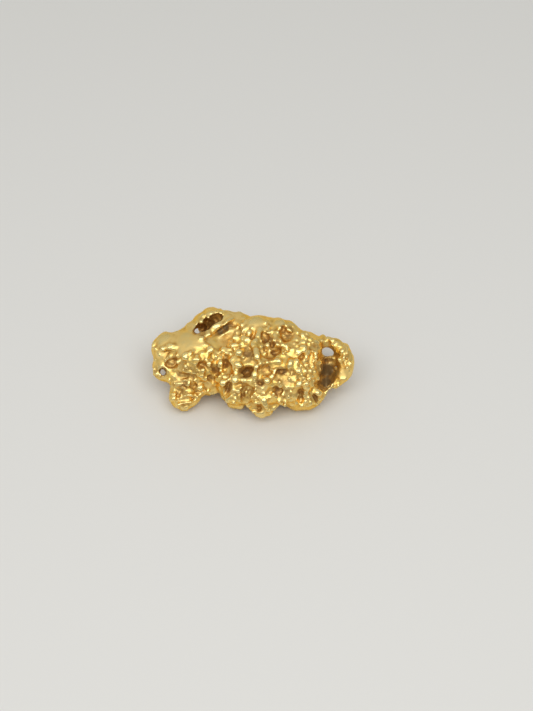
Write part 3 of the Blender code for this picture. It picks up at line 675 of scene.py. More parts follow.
def set_places(piece, places):
    piece.data.vertices.foreach_set("co", places.astype(np.float32).ravel())
    piece.data.update()


def sight_coordinates(places):
    """How far across and up each place shows to the eye."""
    rays = places - np.array(EYE)
    scale = -EYE_DISTANCE / (rays @ np.array(TO_EYE))
    return (rays @ np.array(RIGHT)) * scale, (rays @ np.array(UPWARD)) * scale


def covered(places, patches, level, slope):
    """How strongly round patches, given as the eye sees them, cover each place."""
    across, up = sight_coordinates(places)
    cover = np.zeros(len(places))
    for patch_across, patch_up, radius, *strength in patches:
        far = np.hypot(across - patch_across, up - patch_up) / radius
        most = strength[0] if strength else 1
        cover = np.maximum(cover, most * np.clip(level - slope * far, 0, 1))
    return cover


def facing_eye(normals):
    """1 where the surface faces the eye at all, fading to 0 where it faces well away."""
    return np.clip(1 + 2 * (normals @ np.array(TO_EYE)), 0, 1)


def above_floor(places, rise):
    """0 on the floor and 1 from this height up, so that the contact with the floor stays."""
    return np.clip(places[:, 2] / rise, 0, 1)


skin_facing = facing_eye(vertex_arrays(gold_nugget)[1])
print("share of the skin that faces the eye:", round(skin_facing.mean(), 2))

# %% [markdown]
# Between the marks the ground is lower and craggy, and lowering it makes the beads stand proud.
# Plates that wear has polished stay as they are, and on the hidden sides slow noise decides
# what is worn.

# %% Polished plates and rough ground
SMOOTH_PLATES = (
    # across, up, radius
    (-2.90, 0.90, 0.55), (-3.80, 1.02, 0.42), (0.15, 1.72, 0.38), (-1.25, 1.00, 0.34),
    (4.00, -0.48, 0.34), (-4.05, 0.38, 0.22), (-1.85, 2.38, 0.26), (-0.80, 2.15, 0.40),
    (-1.60, 1.62, 0.28), (0.45, -1.08, 0.22), (0.30, -2.35, 0.26), (2.88, -1.28, 0.24),
    (-3.00, -2.08, 0.20), (1.15, 1.80, 0.24), (-2.40, 0.95, 0.35), (-3.35, 1.15, 0.30),
    (1.85, 1.12, 0.14), (-0.90, 1.30, 0.22), (4.10, 0.75, 0.16), (-1.95, -0.95, 0.16),
    (3.25, -0.25, 0.30), (3.22, -0.75, 0.22), (-3.10, 0.55, 0.22), (-2.72, 1.55, 0.24),
)
# cover at a patch's middle and its loss over one radius, before it is held between 0 and 1
PLATE_FADE = (2.4, 2.0)
# the noise's scale, its middle level and its contrast
HIDDEN_PLATES = (0.9, 0.35, 2.6)
GROUND_DROP = 0.045
# below this height the ground moves less and less, and on the floor not at all
CALM_FOOT = 0.15


def smoothness(places, normals):
    """1 where the metal is polished, 0 where it is rough."""
    seen = covered(places, SMOOTH_PLATES, *PLATE_FADE)
    scale, level, contrast = HIDDEN_PLATES
    hidden = np.array([noise.noise(Vector(place) * scale) for place in places])
    hidden = np.clip(level + contrast * hidden, 0, 1)
    facing = facing_eye(normals)
    return facing * seen + (1 - facing) * hidden


def lower_ground(piece):
    places, normals = vertex_arrays(piece)
    drop = GROUND_DROP * (1 - smoothness(places, normals)) * above_floor(places, CALM_FOOT)
    set_places(piece, places - normals * drop[:, None])


lower_ground(gold_nugget)
print("ground lowered by up to", GROUND_DROP, "mm")

# %% [markdown]
# The sides, the back and the underside carry the same kinds of mark, but nothing fixes where
# each one sits. Rays from all round drop them there with fixed seeds, so that every run puts
# them in the same places. Rejecting places that face the eye keeps the best side as it is.

# %% Rays from all round
FAR_START = 20
AIM_ALONG = 4.2
AIM_ACROSS = 1.8
OUTLINE_MARGIN = 1.5
GOLDEN_TURN = math.pi * (3 - math.sqrt(5))


def rays_from_all_round(count, source):
    """Starts and directions of rays spread evenly over a sphere and aimed along the nugget."""
    for index in range(count):
        level = 1 - 2 * (index + 0.5) / count
        ring = math.sqrt(1 - level * level)
        angle = index * GOLDEN_TURN
        outward = Vector((ring * math.cos(angle), ring * math.sin(angle), level))
        along_nugget = source.uniform(-AIM_ALONG, AIM_ALONG)
        across_nugget = source.uniform(-AIM_ACROSS, AIM_ACROSS)
        aim = SIGHT_MIDDLE + Vector((along_nugget, across_nugget, 0))
        yield aim + FAR_START * outward, -outward


def eye_sees(point):
    sight = point - EYE
    return surface.ray_cast(EYE, sight.normalized(), sight.length - 0.01)[0] is None


def would_show(point, normal, radius):
    """Whether a bead here would be seen by the eye, straight on or beyond the outline."""
    ways = (Vector((0, 0, 0)), normal, UPWARD, -UPWARD, RIGHT, -RIGHT)
    return any(eye_sees(point + OUTLINE_MARGIN * radius * way) for way in ways)


print("the eye sees the middle:", eye_sees(seen_point(surface, 0, 0)[0]))

# %% [markdown]
# Each ray that lands well away from the eye leaves a mark, unless another one of its kind is
# too near. Three kinds are enough: beads, small crumbs and pits.

# %% Marks on the other sides
# rays, (least, most radius), depth and sinking as shares of the radius, spacing, seed
FAR_BEADS = (3200, (0.09, 0.25), 0.60, 0.22, 0.24, 7)
FAR_CRUMBS = (1800, (0.06, 0.10), 0.80, 0.35, 0.24, 8)
FAR_PITS = (1300, (0.07, 0.18), 1.20, 0.00, 0.42, 9)
FAR_STRETCH = (0.9, 1.6)
FAR_FACING = -0.15


def scattered(count, radii, depth, sink, spacing, seed):
    """Ellipsoids on the surface where it faces away from the eye, a spacing apart."""
    source = random.Random(seed)
    kept = KDTree(count)
    shapes = []
    for start, direction in rays_from_all_round(count, source):
        point, normal, _, _ = surface.ray_cast(start, direction)
        radius = source.triangular(*radii, radii[0])
        spin = source.uniform(0, math.pi)
        stretch = source.uniform(*FAR_STRETCH)
        if point is None or normal.dot(TO_EYE) > FAR_FACING or would_show(point, normal, radius):
            continue
        kept.balance()
        if shapes and kept.find(point)[2] < spacing:
            continue
        kept.insert(point, len(shapes))
        turn = normal.to_track_quat("Z", "Y").to_matrix() @ Matrix.Rotation(spin, 3, "Z")
        radii_here = (radius * stretch, radius, radius * depth)
        shapes.append((point - sink * radius * normal, radii_here, turn))
    return shapes


far_beads = scattered(*FAR_BEADS)
far_crumbs = scattered(*FAR_CRUMBS)
far_pits = scattered(*FAR_PITS)
print("other sides:", len(far_beads), "beads,", len(far_crumbs), "crumbs,", len(far_pits), "pits")

# %% [markdown]
# Crumbs are the smallest beads, 0.1 to 0.2 mm across. On the best side a few dozen of them
# fill the rough ground between the placed beads, and they keep off the polished plates.

# %% Crumbs on the best side
CRUMB_COUNT = 90
CRUMB_SEED = 23
CRUMB_RADII = (0.055, 0.110)
CRUMB_STRETCH = (1.0, 1.5)
ROUGH_ENOUGH = 0.35
HALF_WIDTH = 4.4
HALF_HEIGHT = 2.5


def crumbs():
    source = random.Random(CRUMB_SEED)
    for _ in range(CRUMB_COUNT):
        across = source.uniform(-HALF_WIDTH, HALF_WIDTH)
        up = source.uniform(-HALF_HEIGHT, HALF_HEIGHT)
        radius = source.triangular(*CRUMB_RADII, CRUMB_RADII[0])
        found = seen_point(surface, across, up)
        sink = sink_of_bead(found[1]) if found else None
        if sink is None:
            continue
        calm = smoothness(np.array([found[0]]), np.array([found[1]]))[0]
        if calm < ROUGH_ENOUGH:
            place = found[0] - sink * radius * found[1]
            stretch = source.uniform(*CRUMB_STRETCH)
            radii = (radius * stretch, radius, radius * BEAD_FLATNESS)
            added.append((place, radii, bead_turn(found[1], source.uniform(0, 180))))


placed = len(added)
crumbs()
print("crumbs on the best side:", len(added) - placed)

# %% [markdown]
# All that is added is joined to the ground and remeshed as one skin. A voxel remesh works like
# melting: where two beads overlap the metal flows into one, and only what lies outside survives.
# It also keeps the nugget a single closed body, as real metal is.

# %% Fuse the beads into the skin
FINE_VOXEL = 0.036


def join(target, other):
    """Adds the other piece's mesh to the target's and removes the other piece."""
    bm = bmesh.new()
    bm.from_mesh(target.data)
    bm.from_mesh(other.data)
    bm.to_mesh(target.data)
    bm.free()
    mesh = other.data
    bpy.data.objects.remove(other)
    bpy.data.meshes.remove(mesh)


join(gold_nugget, beads("beads", added + far_beads + far_crumbs))
remesh(gold_nugget, FINE_VOXEL, 1)
print("skin with beads has", len(gold_nugget.data.polygons), "faces")

# %% [markdown]
# The metal sags towards each pit, so the ground slopes down into it. Every vertex sinks by
# what the nearest pits ask of it, a soft bell curve round each one. Taking the deepest of them, and not
# their sum, keeps a groove, which is many pits in a row, from turning into a canyon.

# %% Dish the ground round the pits
DISH_SHARE = 0.32
DISH_REACH = 1.5


def dish(piece, pits):
    places, normals = vertex_arrays(piece)
    drop = np.zeros(len(places))
    for place, (length, width, depth), turn in pits:
        near = (places - np.array(place)) @ np.array(turn)
        far = (near / (DISH_REACH * np.array((length, width, max(length, width))))) ** 2
        drop = np.maximum(drop, DISH_SHARE * depth * np.exp(-far.sum(1)))
    set_places(piece, places - normals * (drop * above_floor(places, CALM_FOOT))[:, None])
    return drop.max()


print("deepest dish:", round(dish(gold_nugget, cut + far_pits), 3), "mm")

# %% [markdown]
# Pits and folds are the gaps where quartz or iron-stained clay once sat in the gold. Smooth
# ellipsoids would look drilled, so the fused cutter is first crumpled with noise. One Boolean
# then cuts them all, which gives the crisp lips that displacement would smear.

# %% Cut the pits and folds
CUTTER_VOXEL = 0.03
# size and height of each layer of noise
CRUMPLES = ((0.20, 0.050), (0.09, 0.018))


def wavy(places, waves):
    total = np.zeros(len(places))
    for size, height in waves:
        total += height * np.array([noise.noise(Vector(place) / size) for place in places])
    return total


def crumple(piece, waves):
    places, normals = vertex_arrays(piece)
    set_places(piece, places + normals * wavy(places, waves)[:, None])


def carve(piece, cutter):
    pits = piece.modifiers.new("pits", "BOOLEAN")
    pits.operation = "DIFFERENCE"
    pits.solver = "MANIFOLD"
    pits.object = cutter
    take_modifiers(piece)
    bpy.data.objects.remove(cutter)


cutter = beads("pit_cutters", cut + far_pits)
remesh(cutter, CUTTER_VOXEL, 0)
crumple(cutter, CRUMPLES)
remesh(cutter, CUTTER_VOXEL, 0)
carve(gold_nugget, cutter)
remesh(gold_nugget, FINE_VOXEL, 1)
print("carved skin has", len(gold_nugget.data.polygons), "faces")

# %% [markdown]
# The next steps treat high spots and low ground differently. Moving every vertex towards the
# average of its neighbours a dozen times gives the surface as it would be without its small
# lumps, and the height of the real vertex above that tells beads from the ground between them.

# %% Measure how high each vertex stands
SURROUNDINGS = 12


def even_out(piece, values, rounds):
    """Averages values over neighbouring vertices."""
    ends = np.empty(2 * len(piece.data.edges), np.int32)
    piece.data.edges.foreach_get("vertices", ends)
    first, second = ends.reshape(-1, 2).T
    links = np.bincount(ends, minlength=len(values))
    for _ in range(rounds):
        around = np.bincount(first, values[second], len(values))
        around += np.bincount(second, values[first], len(values))
        values = 0.5 * values + 0.5 * around / np.maximum(links, 1)
    return values


def standing_height(piece):
    places, normals = vertex_arrays(piece)
    around = [even_out(piece, places[:, axis], SURROUNDINGS) for axis in range(3)]
    return ((places - np.column_stack(around)) * normals).sum(1)


print("highest bead stands", round(standing_height(gold_nugget).max(), 3), "mm above its surroundings")

# %% [markdown]
# Gold grows in cubes and octahedra, and a rough nugget glitters because the broken faces of its
# crystals lie at all angles. Voronoi noise measured along the axes, and not as the crow flies,
# makes just such flat-sided little pyramids. Slow noise first bends the space they stand in, so
# that they don't line up. They are weaker on the polished plates.

# %% Crystal facets
# size and height of each layer of crystals
FACETS = ((0.42, 0.050), (0.20, 0.022))
FACET_TURN = Matrix.Rotation(0.7, 3, Vector((0.6, 0.3, 0.74)))
FACET_WARP = 0.12
FACET_WARP_SIZE = 0.8
FACET_MIDDLE = 0.55


def facets(places):
    """How far each place lies above or below the middle height of the crystals that stand there."""
    height = np.zeros(len(places))
    turn = Matrix.Identity(3)
    for size, rise in FACETS:
        turn = turn @ FACET_TURN
        for index, place in enumerate(places):
            bend = noise.noise_vector(Vector(place) / FACET_WARP_SIZE)
            bent = Vector(place) + FACET_WARP * bend
            near = noise.voronoi(turn @ bent / size, distance_metric="MANHATTAN")[0]
            height[index] += rise * (FACET_MIDDLE - near[0])
    return height


print("facets:", FACETS)

# %% [markdown]
# Hammering leaves ripples a few hundredths of a millimetre high, weaker on the polished plates.
# The vertices that rest on the floor stay put.

# %% Ripples
# size and height of each layer of noise
RIPPLES = ((0.45, 0.030), (0.20, 0.010))
RIPPLE_FOOT = 0.12
PLATE_CALM = 0.75
BEAD_HEIGHT = 0.022


def ripple(piece):
    places, normals = vertex_arrays(piece)
    calm = 1 - PLATE_CALM * smoothness(places, normals)
    calm *= 1 - np.clip(standing_height(piece) / BEAD_HEIGHT, 0, 1)
    height = (wavy(places, RIPPLES) + facets(places)) * calm * above_floor(places, RIPPLE_FOOT)
    moved = places + normals * height[:, None]
    moved[:, 2] = np.maximum(moved[:, 2], 0)
    set_places(piece, moved)


ripple(gold_nugget)
remesh(gold_nugget, FINE_VOXEL, 1)
print("rippled skin has", len(gold_nugget.data.polygons), "faces")

# %% [markdown]
# Real metal has no bits that float beside it, so only the largest body is kept. A Decimate
# modifier then thins the mesh: it keeps faces where the surface bends and gives up those on
# flat plates, where a coarser remesh would lose the small beads.

# %% Loose bits and the final mesh
SKIN_TRIANGLES = 196000


def thin_out(piece, most):
    triangles = sum(len(polygon.vertices) - 2 for polygon in piece.data.polygons)
    if triangles > most:
        thin = piece.modifiers.new("thin", "DECIMATE")
        thin.ratio = most / triangles
        take_modifiers(piece)


def keep_largest(piece):
    """Removes the bits of metal that the pits have cut loose, and counts them."""
    bm = bmesh.new()
    bm.from_mesh(piece.data)
    unseen = set(bm.verts)
    bodies = []
    while unseen:
        body = [unseen.pop()]
        for vertex in body:
            for edge in vertex.link_edges:
                other = edge.other_vert(vertex)
                if other in unseen:
                    unseen.remove(other)
                    body.append(other)
        bodies.append(body)
    bodies.sort(key=len)
    loose = [vertex for body in bodies[:-1] for vertex in body]
    bmesh.ops.delete(bm, geom=loose, context="VERTS")
    bm.to_mesh(piece.data)
    bm.free()
    return len(bodies) - 1


loose_bodies = keep_largest(gold_nugget)
thin_out(gold_nugget, SKIN_TRIANGLES)
print("removed", loose_bodies, "loose bodies;", len(gold_nugget.data.polygons), "faces kept")

# %% [markdown]
# Wear, stain and the painted shade of the hollows follow the shape, so the shape itself says
# where they go. Rays sent out from each vertex tell how much of the surroundings it sees: few get
# away from the bottom of a pit.
# The share is kept as an attribute that the material reads.

# %% Measure how sheltered each vertex is
SHELTER_RAYS = 14
SHELTER_REACH = 1.2
SHELTER_EVENING = 6
START_LIFT = 0.02


def store(piece, name, values):
    attribute = piece.data.attributes.new(name, "FLOAT", "POINT")
    attribute.data.foreach_set("value", values.astype(np.float32))


def dome_directions(count):
    """Directions over the half of a sphere round Z, denser towards Z."""
    directions = []
    for index in range(count):
        level = math.sqrt((index + 0.5) / count)
        ring = math.sqrt(1 - level * level)
        angle = index * GOLDEN_TURN
        directions.append(Vector((ring * math.cos(angle), ring * math.sin(angle), level)))
    return directions


def shelter(piece):
    tree = surface_of(piece)
    dome = dome_directions(SHELTER_RAYS)
    blocked = np.zeros(len(piece.data.vertices))
    for index, vertex in enumerate(piece.data.vertices):
        normal = vertex.normal
        turn = normal.to_track_quat("Z", "Y").to_matrix()
        start = vertex.co + START_LIFT * normal
        hits = sum(tree.ray_cast(start, turn @ ray, SHELTER_REACH)[0] is not None for ray in dome)
        blocked[index] = hits / SHELTER_RAYS
    return blocked


sheltered = even_out(gold_nugget, shelter(gold_nugget), SHELTER_EVENING)
# the sheltered share sets where the film and its painted shade lie
store(gold_nugget, "hollow", sheltered)
print("sheltered share runs from", round(sheltered.min(), 2), "to", round(sheltered.max(), 2))

# %% [markdown]
# High spots are burnished by rubbing, so the finished relief is measured once more for them. The
# same measure places the painted shade in the creases and the painted highlight on rubbed tops.

# %% Measure the relief for the material
RELIEF_SPAN = 0.04
standing = standing_height(gold_nugget)
print("heights in mm:", [round(h, 4) for h in np.percentile(standing, (5, 25, 50, 75, 90, 95, 99))])
store(gold_nugget, "relief", np.clip(0.5 + standing / RELIEF_SPAN, 0, 1))
store(gold_nugget, "plate", smoothness(*vertex_arrays(gold_nugget)))

# %% [markdown]
# Iron-stained clay clings where gravel can't rub it off. On the best side it lies in patches, and
# the same patches paint shade: in the big hollows, under the overhangs and between the beads of
# the roughest ground. Each patch is given by place, radius and strength, and fades out softly.

# %% Patches of iron stain and painted shade
# each patch is iron stain, and also painted shade where it lies in a hollow or under an overhang
STAIN_AND_SHADE_PATCHES = (
    # across, up, radius, strength
    (0.78, 0.80, 0.44, 0.80), (0.60, 1.10, 0.26, 0.84), (0.94, 0.50, 0.28, 0.80),
    (0.76, 0.30, 0.26, 0.40), (-0.22, 0.34, 0.34, 0.80), (-1.20, 0.04, 0.24, 0.80),
    (-1.12, -1.08, 0.26, 0.80), (-0.36, -0.42, 0.34, 0.88), (0.55, -0.22, 0.30, 0.75),
    (1.26, -0.38, 0.30, 0.84), (1.66, -0.48, 0.24, 0.65), (1.34, -0.72, 0.36, 0.50),
    (0.32, -0.88, 0.24, 0.80), (-0.40, -1.30, 0.42, 0.70), (-0.34, -0.96, 0.26, 0.60),
    (1.04, -1.24, 0.26, 0.75), (1.36, -1.20, 0.30, 0.60), (-3.58, 0.06, 0.34, 0.65),
    (-3.72, 0.46, 0.26, 0.35), (-3.05, -1.10, 0.40, 0.65), (-2.55, -1.02, 0.26, 0.65),
    (-2.90, -0.42, 0.50, 0.60), (-2.20, -0.12, 0.32, 0.70), (-1.66, -0.28, 0.26, 0.80),
    (-1.88, -0.66, 0.28, 0.65), (-2.24, 1.50, 0.30, 0.75), (-1.85, 1.84, 0.34, 0.55),
    (-1.42, 1.38, 0.22, 1.00), (-1.20, 1.54, 0.20, 1.00), (-0.98, 1.68, 0.20, 0.90),
    (3.22, -0.30, 0.44, 1.00), (3.20, -0.85, 0.34, 1.00), (3.26, 0.16, 0.26, 0.90),
    (1.36, 1.46, 0.18, 0.75), (1.55, 1.28, 0.28, 0.75), (2.06, -1.34, 0.22, 0.70),
    (2.72, -1.52, 0.20, 0.75), (0.24, -1.98, 0.20, 0.60), (-4.02, -0.38, 0.30, 0.82),
    (2.12, 0.28, 0.15, 0.50), (2.76, 0.72, 0.16, 0.60), (-2.95, -1.88, 0.30, 0.35),
    (-0.62, 0.62, 0.16, 0.35), (0.02, 1.14, 0.14, 0.45),
)
# cover at a patch's middle and its loss over one radius
STAIN_AND_SHADE_FADE = (1.8, 1.4)


def stain_and_shade_cover(places, normals):
    return covered(places, STAIN_AND_SHADE_PATCHES, *STAIN_AND_SHADE_FADE) * facing_eye(normals)


# the patches' cover, stain and painted shade alike, is stored for the material
stain_and_shade = stain_and_shade_cover(*vertex_arrays(gold_nugget))
store(gold_nugget, "stain_and_shade", stain_and_shade)
print("patches of stain:", len(STAIN_AND_SHADE_PATCHES), "cover a share of", round((stain_and_shade > 0).mean(), 2))

# %% [markdown]
# Native gold is a metal, so its colour is the colour of its mirror image: the base colour tints
# what it reflects, and roughness says how sharp the image is. Ground that nothing rubs is matt
# and deep yellow, worn plates are paler, and rubbed tops are bright and nearly mirrors, and their
# paler tint is partly wear and partly a painted highlight. Creases get a darker gold as painted
# shade. In the pits light bounces from gold to gold and turns orange by itself. A blotchy brown
# film is added there, partly the iron stain of most stream gold and partly painted shade, and
# where it is thickest it is clay, which hardly shines like metal. The attributes of the skin say
# where each is, so that the finish follows the shape, which a flat pattern wrapped round the
# nugget could not do.

# %% Small helpers for material nodes
MM_PER_METRE = 1000


def noise_node(tree, place, grain, detail):
    """Noise whose features are about this many millimetres across."""
    texture = tree.nodes.new("ShaderNodeTexNoise")
    texture.inputs["Scale"].default_value = MM_PER_METRE / grain
    texture.inputs["Detail"].default_value = detail
    tree.links.new(place.outputs["Object"], texture.inputs["Vector"])
    return texture.outputs["Fac"]


def ramp(tree, value, start, end, low=0.0, high=1.0):
    """Maps start..end of a value to low..high and clamps it there."""
    mapped = tree.nodes.new("ShaderNodeMapRange")
    mapped.inputs["From Min"].default_value = start
    mapped.inputs["From Max"].default_value = end
    mapped.inputs["To Min"].default_value = low
    mapped.inputs["To Max"].default_value = high
    tree.links.new(value, mapped.inputs["Value"])
    return mapped.outputs["Result"]


def mix(tree, kind, first, second, share):
    """Blends two colours or two numbers; each is a constant or another node's output."""
    blend = tree.nodes.new("ShaderNodeMix")
    blend.data_type = kind
    for name, value in (("A", first), ("B", second), ("Factor", share)):
        fits = [item for item in blend.inputs if item.name == name and item.enabled]
        if isinstance(value, bpy.types.NodeSocket):
            tree.links.new(value, fits[0])
        else:
            fits[0].default_value = value
    return next(item for item in blend.outputs if item.enabled)


def combined(tree, operation, first, second):
    """The product, maximum or the like of two nodes' outputs."""
    result = tree.nodes.new("ShaderNodeMath")
    result.operation = operation
    tree.links.new(first, result.inputs[0])
    tree.links.new(second, result.inputs[1])
    return result.outputs["Value"]


def attribute(tree, name):
    reader = tree.nodes.new("ShaderNodeAttribute")
    reader.attribute_name = name
    return reader.outputs["Fac"]


print("node helpers are ready")

# %% [markdown]
# The gold under the film comes first. The relief paints shade into the creases and makes rubbed
# tops paler, partly for wear and partly as a painted highlight, and slow noise keeps the ground
# between them from being one flat tone.

# %% Colour of the gold, with painted shade in creases and painted highlight on rubbed tops
GROUND_TINT = (1.0, 0.68, 0.18, 1.0)
PALE_TINT = (1.0, 0.73, 0.27, 1.0)
# painted shade: creases get this darker, more orange gold
CREASE_SHADE_TINT = (0.72, 0.45, 0.13, 1.0)
# rubbed tops get this paler gold, partly for wear and partly as a painted highlight
RUBBED_AND_HIGHLIGHT_TINT = (1.0, 0.79, 0.33, 1.0)
EDGE_TINT = (1.0, 0.76, 0.34, 1.0)
# a grain is the size and detail of noise, a span the values between which a share goes from 0 to 1
TONE_GRAIN = (0.7, 4)
TONE_SPAN = (0.38, 0.66)
CREASE_SHADE_SPAN = (0.48, 0.05)
RUBBED_AND_HIGHLIGHT_SPAN = (0.62, 0.95)


def gold_with_painted_light(tree, place, plate, relief, rubbed_and_highlit):
    tone = ramp(tree, noise_node(tree, place, *TONE_GRAIN), *TONE_SPAN)
    ground = mix(tree, "RGBA", GROUND_TINT, PALE_TINT, tone)
    plated = mix(tree, "RGBA", ground, PALE_TINT, plate)
    # painted shade in the creases, then the paler rubbed tops, which are partly a painted highlight
    crease_shaded = mix(tree, "RGBA", plated, CREASE_SHADE_TINT, ramp(tree, relief, *CREASE_SHADE_SPAN))
    return mix(tree, "RGBA", crease_shaded, RUBBED_AND_HIGHLIGHT_TINT, rubbed_and_highlit)


print("colour of the ground", GROUND_TINT[:3], "and of rubbed tops", RUBBED_AND_HIGHLIGHT_TINT[:3])

# %% [markdown]
# The film, which is iron stain and clay and also painted shade, lies wherever the skin is
# sheltered, and thicker in the stained patches. Mottling breaks a patch up, except where it is at
# full strength, and rubbing takes the film off.

# %% The film of iron stain and clay, which is also painted shade
# the film's colours, partly iron stain and clay and partly painted shade in hollows and under overhangs
STAIN_AND_SHADE_TINT = (0.28, 0.12, 0.028, 1.0)
CLAY_AND_SHADE_TINT = (0.22, 0.145, 0.065, 1.0)
# a span of shelter or noise, and the film and painted shade at its start and end
SHELTERED_SHADE_AND_FILM = (0.28, 0.88, 0.0, 0.65)
MOTTLED_FILM_AND_SHADE = (0.42, 0.58, 0.35, 1.2)
MOTTLE_GRAIN = (0.24, 3)
FULL_SPAN = (0.70, 1.00)
CLAY_AND_SHADE_SPAN = (0.84, 0.98)
FILM_AND_SHADE_ON_RUBBED = 0.10
METAL_UNDER_FILM_AND_SHADE = 0.35


def stain_and_shade_film(tree, place, hollow, patch, rubbed_and_highlit):
    """The colour of the film and painted shade, and how much of the gold it hides."""
    mottle = ramp(tree, noise_node(tree, place, *MOTTLE_GRAIN), *MOTTLED_FILM_AND_SHADE)
    blotchy = combined(tree, "MULTIPLY", patch, mottle)
    laid = mix(tree, "FLOAT", blotchy, patch, ramp(tree, patch, *FULL_SPAN))
    kept = mix(tree, "FLOAT", laid, FILM_AND_SHADE_ON_RUBBED, rubbed_and_highlit)
    colour = mix(tree, "RGBA", STAIN_AND_SHADE_TINT, CLAY_AND_SHADE_TINT, ramp(tree, kept, *CLAY_AND_SHADE_SPAN))
    # painted shade and film in the sheltered places
    sheltered_share = ramp(tree, hollow, *SHELTERED_SHADE_AND_FILM)
    return colour, combined(tree, "MAXIMUM", sheltered_share, kept)


print("film of stain", STAIN_AND_SHADE_TINT[:3], "and of clay", CLAY_AND_SHADE_TINT[:3])

# %% [markdown]
# Roughness follows the same wear: rubbed tops are sharp mirrors, and plates and ground are
# matt. Two bump layers give the ground the finest grain, which is too small to be modelled.

# %% Finish of the gold
SPECKLE_GRAIN = (0.3, 3)
SPECKLE_SPAN = (0.35, 0.70)
GROUND_ROUGHNESS = (0.32, 0.44)
PLATE_ROUGHNESS = 0.50
RUBBED_ROUGHNESS = 0.17
BUMP_GRAINS = ((0.11, 0.22), (0.045, 0.12))
BUMP_DETAIL = 2
BUMP_HEIGHT = 0.5


def roughness(tree, place, plate, rubbed_and_highlit):
    speckle = noise_node(tree, place, *SPECKLE_GRAIN)
    matt = ramp(tree, speckle, *SPECKLE_SPAN, *GROUND_ROUGHNESS)
    worn = mix(tree, "FLOAT", matt, PLATE_ROUGHNESS, plate)
    return mix(tree, "FLOAT", worn, RUBBED_ROUGHNESS, rubbed_and_highlit)


def fine_grain(tree, place):
    normal = None
    for grain, strength in BUMP_GRAINS:
        bump = tree.nodes.new("ShaderNodeBump")
        bump.inputs["Strength"].default_value = strength
        bump.inputs["Distance"].default_value = BUMP_HEIGHT * grain * MM
        height = noise_node(tree, place, grain, BUMP_DETAIL)
        tree.links.new(height, bump.inputs["Height"])
        if normal:
            tree.links.new(normal, bump.inputs["Normal"])
        normal = bump.outputs["Normal"]
    return normal


print("roughness of rubbed tops", RUBBED_ROUGHNESS, "and of plates", PLATE_ROUGHNESS)

# %% [markdown]
# One material carries it all, because the nugget is one piece of one metal, and wear, stain and
# the painted shade and highlight pass into one another without an edge.

# %% The gold


def gold_material():
    material = bpy.data.materials.new("native_gold")
    material.use_nodes = True
    tree = material.node_tree
    shader = tree.nodes["Principled BSDF"]
    shader.inputs["Specular Tint"].default_value = EDGE_TINT
    place = tree.nodes.new("ShaderNodeTexCoord")
    relief, plate = attribute(tree, "relief"), attribute(tree, "plate")
    hollow, patch = attribute(tree, "hollow"), attribute(tree, "stain_and_shade")
    rubbed_and_highlit = ramp(tree, relief, *RUBBED_AND_HIGHLIGHT_SPAN)
    gold = gold_with_painted_light(tree, place, plate, relief, rubbed_and_highlit)
    film_and_shade, hidden = stain_and_shade_film(tree, place, hollow, patch, rubbed_and_highlit)
    # the base colour holds painted shade in creases and hollows and a painted highlight on rubbed tops
    looks = {
        "Base Color": mix(tree, "RGBA", gold, film_and_shade, hidden),
        "Metallic": ramp(tree, hidden, 0, 1, 1, METAL_UNDER_FILM_AND_SHADE),
        "Roughness": roughness(tree, place, plate, rubbed_and_highlit),
        "Normal": fine_grain(tree, place),
    }
    for name, value in looks.items():
        tree.links.new(value, shader.inputs[name])
    return material


native_gold = gold_material()
print("gold material has", len(native_gold.node_tree.nodes), "nodes")

# %% [markdown]
# The skin is brought back to metres, shaded smooth, and handed to the frame in place of the
# plain CAD solid.

# %% Hand the skin to the frame
gold_nugget.data.transform(Matrix.Scale(MM, 4))
gold_nugget.data.materials.clear()
gold_nugget.data.materials.append(native_gold)
gold_nugget.data.shade_smooth()
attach(gold_nugget, "root")
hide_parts("nugget")
print("skin triangles:", sum(len(polygon.vertices) - 2 for polygon in gold_nugget.data.polygons))

# %% [markdown]
# The nugget lies on a pale, matt floor, which also lights it from below.

# %% Floor
HALF_FLOOR = 0.6
FLOOR_TINT = (0.77, 0.762, 0.74, 1.0)
FLOOR_ROUGHNESS = 0.9


def make_floor():
    bm = bmesh.new()
    bmesh.ops.create_grid(bm, x_segments=1, y_segments=1, size=HALF_FLOOR)
    mesh = bpy.data.meshes.new("floor")
    bm.to_mesh(mesh)
    bm.free()
    floor = new_piece("floor", mesh)
    material = bpy.data.materials.new("pale_floor")
    material.use_nodes = True
    shader = material.node_tree.nodes["Principled BSDF"]
    shader.inputs["Base Color"].default_value = FLOOR_TINT
    shader.inputs["Roughness"].default_value = FLOOR_ROUGHNESS
    mesh.materials.append(material)


make_floor()
print("floor of", 2 * HALF_FLOOR, "m a side")

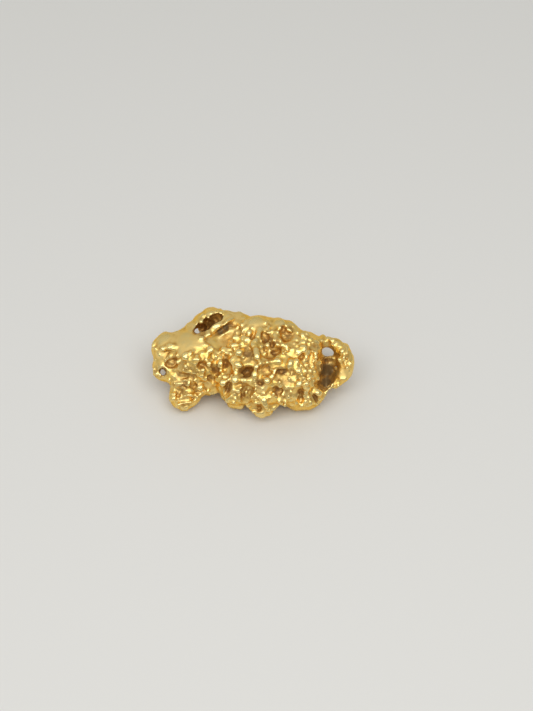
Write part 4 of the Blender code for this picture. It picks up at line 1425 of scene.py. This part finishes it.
# %% [markdown]
# The light is soft, as in a diffusing tent. Metal shows its surroundings, so the lights are
# shaped as much as placed. The sky grows brighter from the low front towards the high back,
# which gives every form a light and a dark side. A broad panel on the right and a smaller one
# on the left set the highlights on the beads.

# %% Sky and panels
SKY_AXIS = Vector((-0.3, 0.3, 0.9))
SKY_DARK = (0.27, 0.27, 0.262, 1.0)
SKY_BRIGHT = (0.60, 0.60, 0.58, 1.0)
SKY_START = 0.25
PANEL_DISTANCE = 100
PANELS = (
    # name, bearing and height in degrees, side in millimetres, radiance
    ("right_panel", 26, 64, 70, 2.3),
    ("left_panel", -48, 56, 46, 2.3),
)


def add_panel(name, bearing, height, side, radiance):
    """A square light facing the nugget; bearing and height are degrees, bearing 0 is in front."""
    turn, rise = math.radians(bearing), math.radians(height)
    away = Vector((
        math.sin(turn) * math.cos(rise), -math.cos(turn) * math.cos(rise), math.sin(rise)
    ))
    light = bpy.data.lights.new(name, "AREA")
    light.shape = "SQUARE"
    light.size = side * MM
    light.energy = radiance * math.pi * (side * MM) ** 2
    panel = bpy.data.objects.new(name, light)
    bpy.context.scene.collection.objects.link(panel)
    panel.location = (SIGHT_MIDDLE + PANEL_DISTANCE * away) * MM
    panel.rotation_euler = (-away).to_track_quat("-Z", "Y").to_euler()


def make_sky():
    world = bpy.data.worlds.new("tent")
    bpy.context.scene.world = world
    world.use_nodes = True
    tree = world.node_tree
    way = tree.nodes.new("ShaderNodeTexCoord")
    towards = tree.nodes.new("ShaderNodeVectorMath")
    towards.operation = "DOT_PRODUCT"
    tree.links.new(way.outputs["Generated"], towards.inputs[0])
    towards.inputs[1].default_value = SKY_AXIS.normalized()
    share = ramp(tree, towards.outputs["Value"], 2 * SKY_START - 1, 1)
    shade = mix(tree, "RGBA", SKY_DARK, SKY_BRIGHT, share)
    tree.links.new(shade, tree.nodes["Background"].inputs["Color"])


make_sky()
for panel in PANELS:
    add_panel(*panel)
bpy.context.scene.view_settings.view_transform = "Standard"
bpy.context.scene.cycles.use_denoising = True
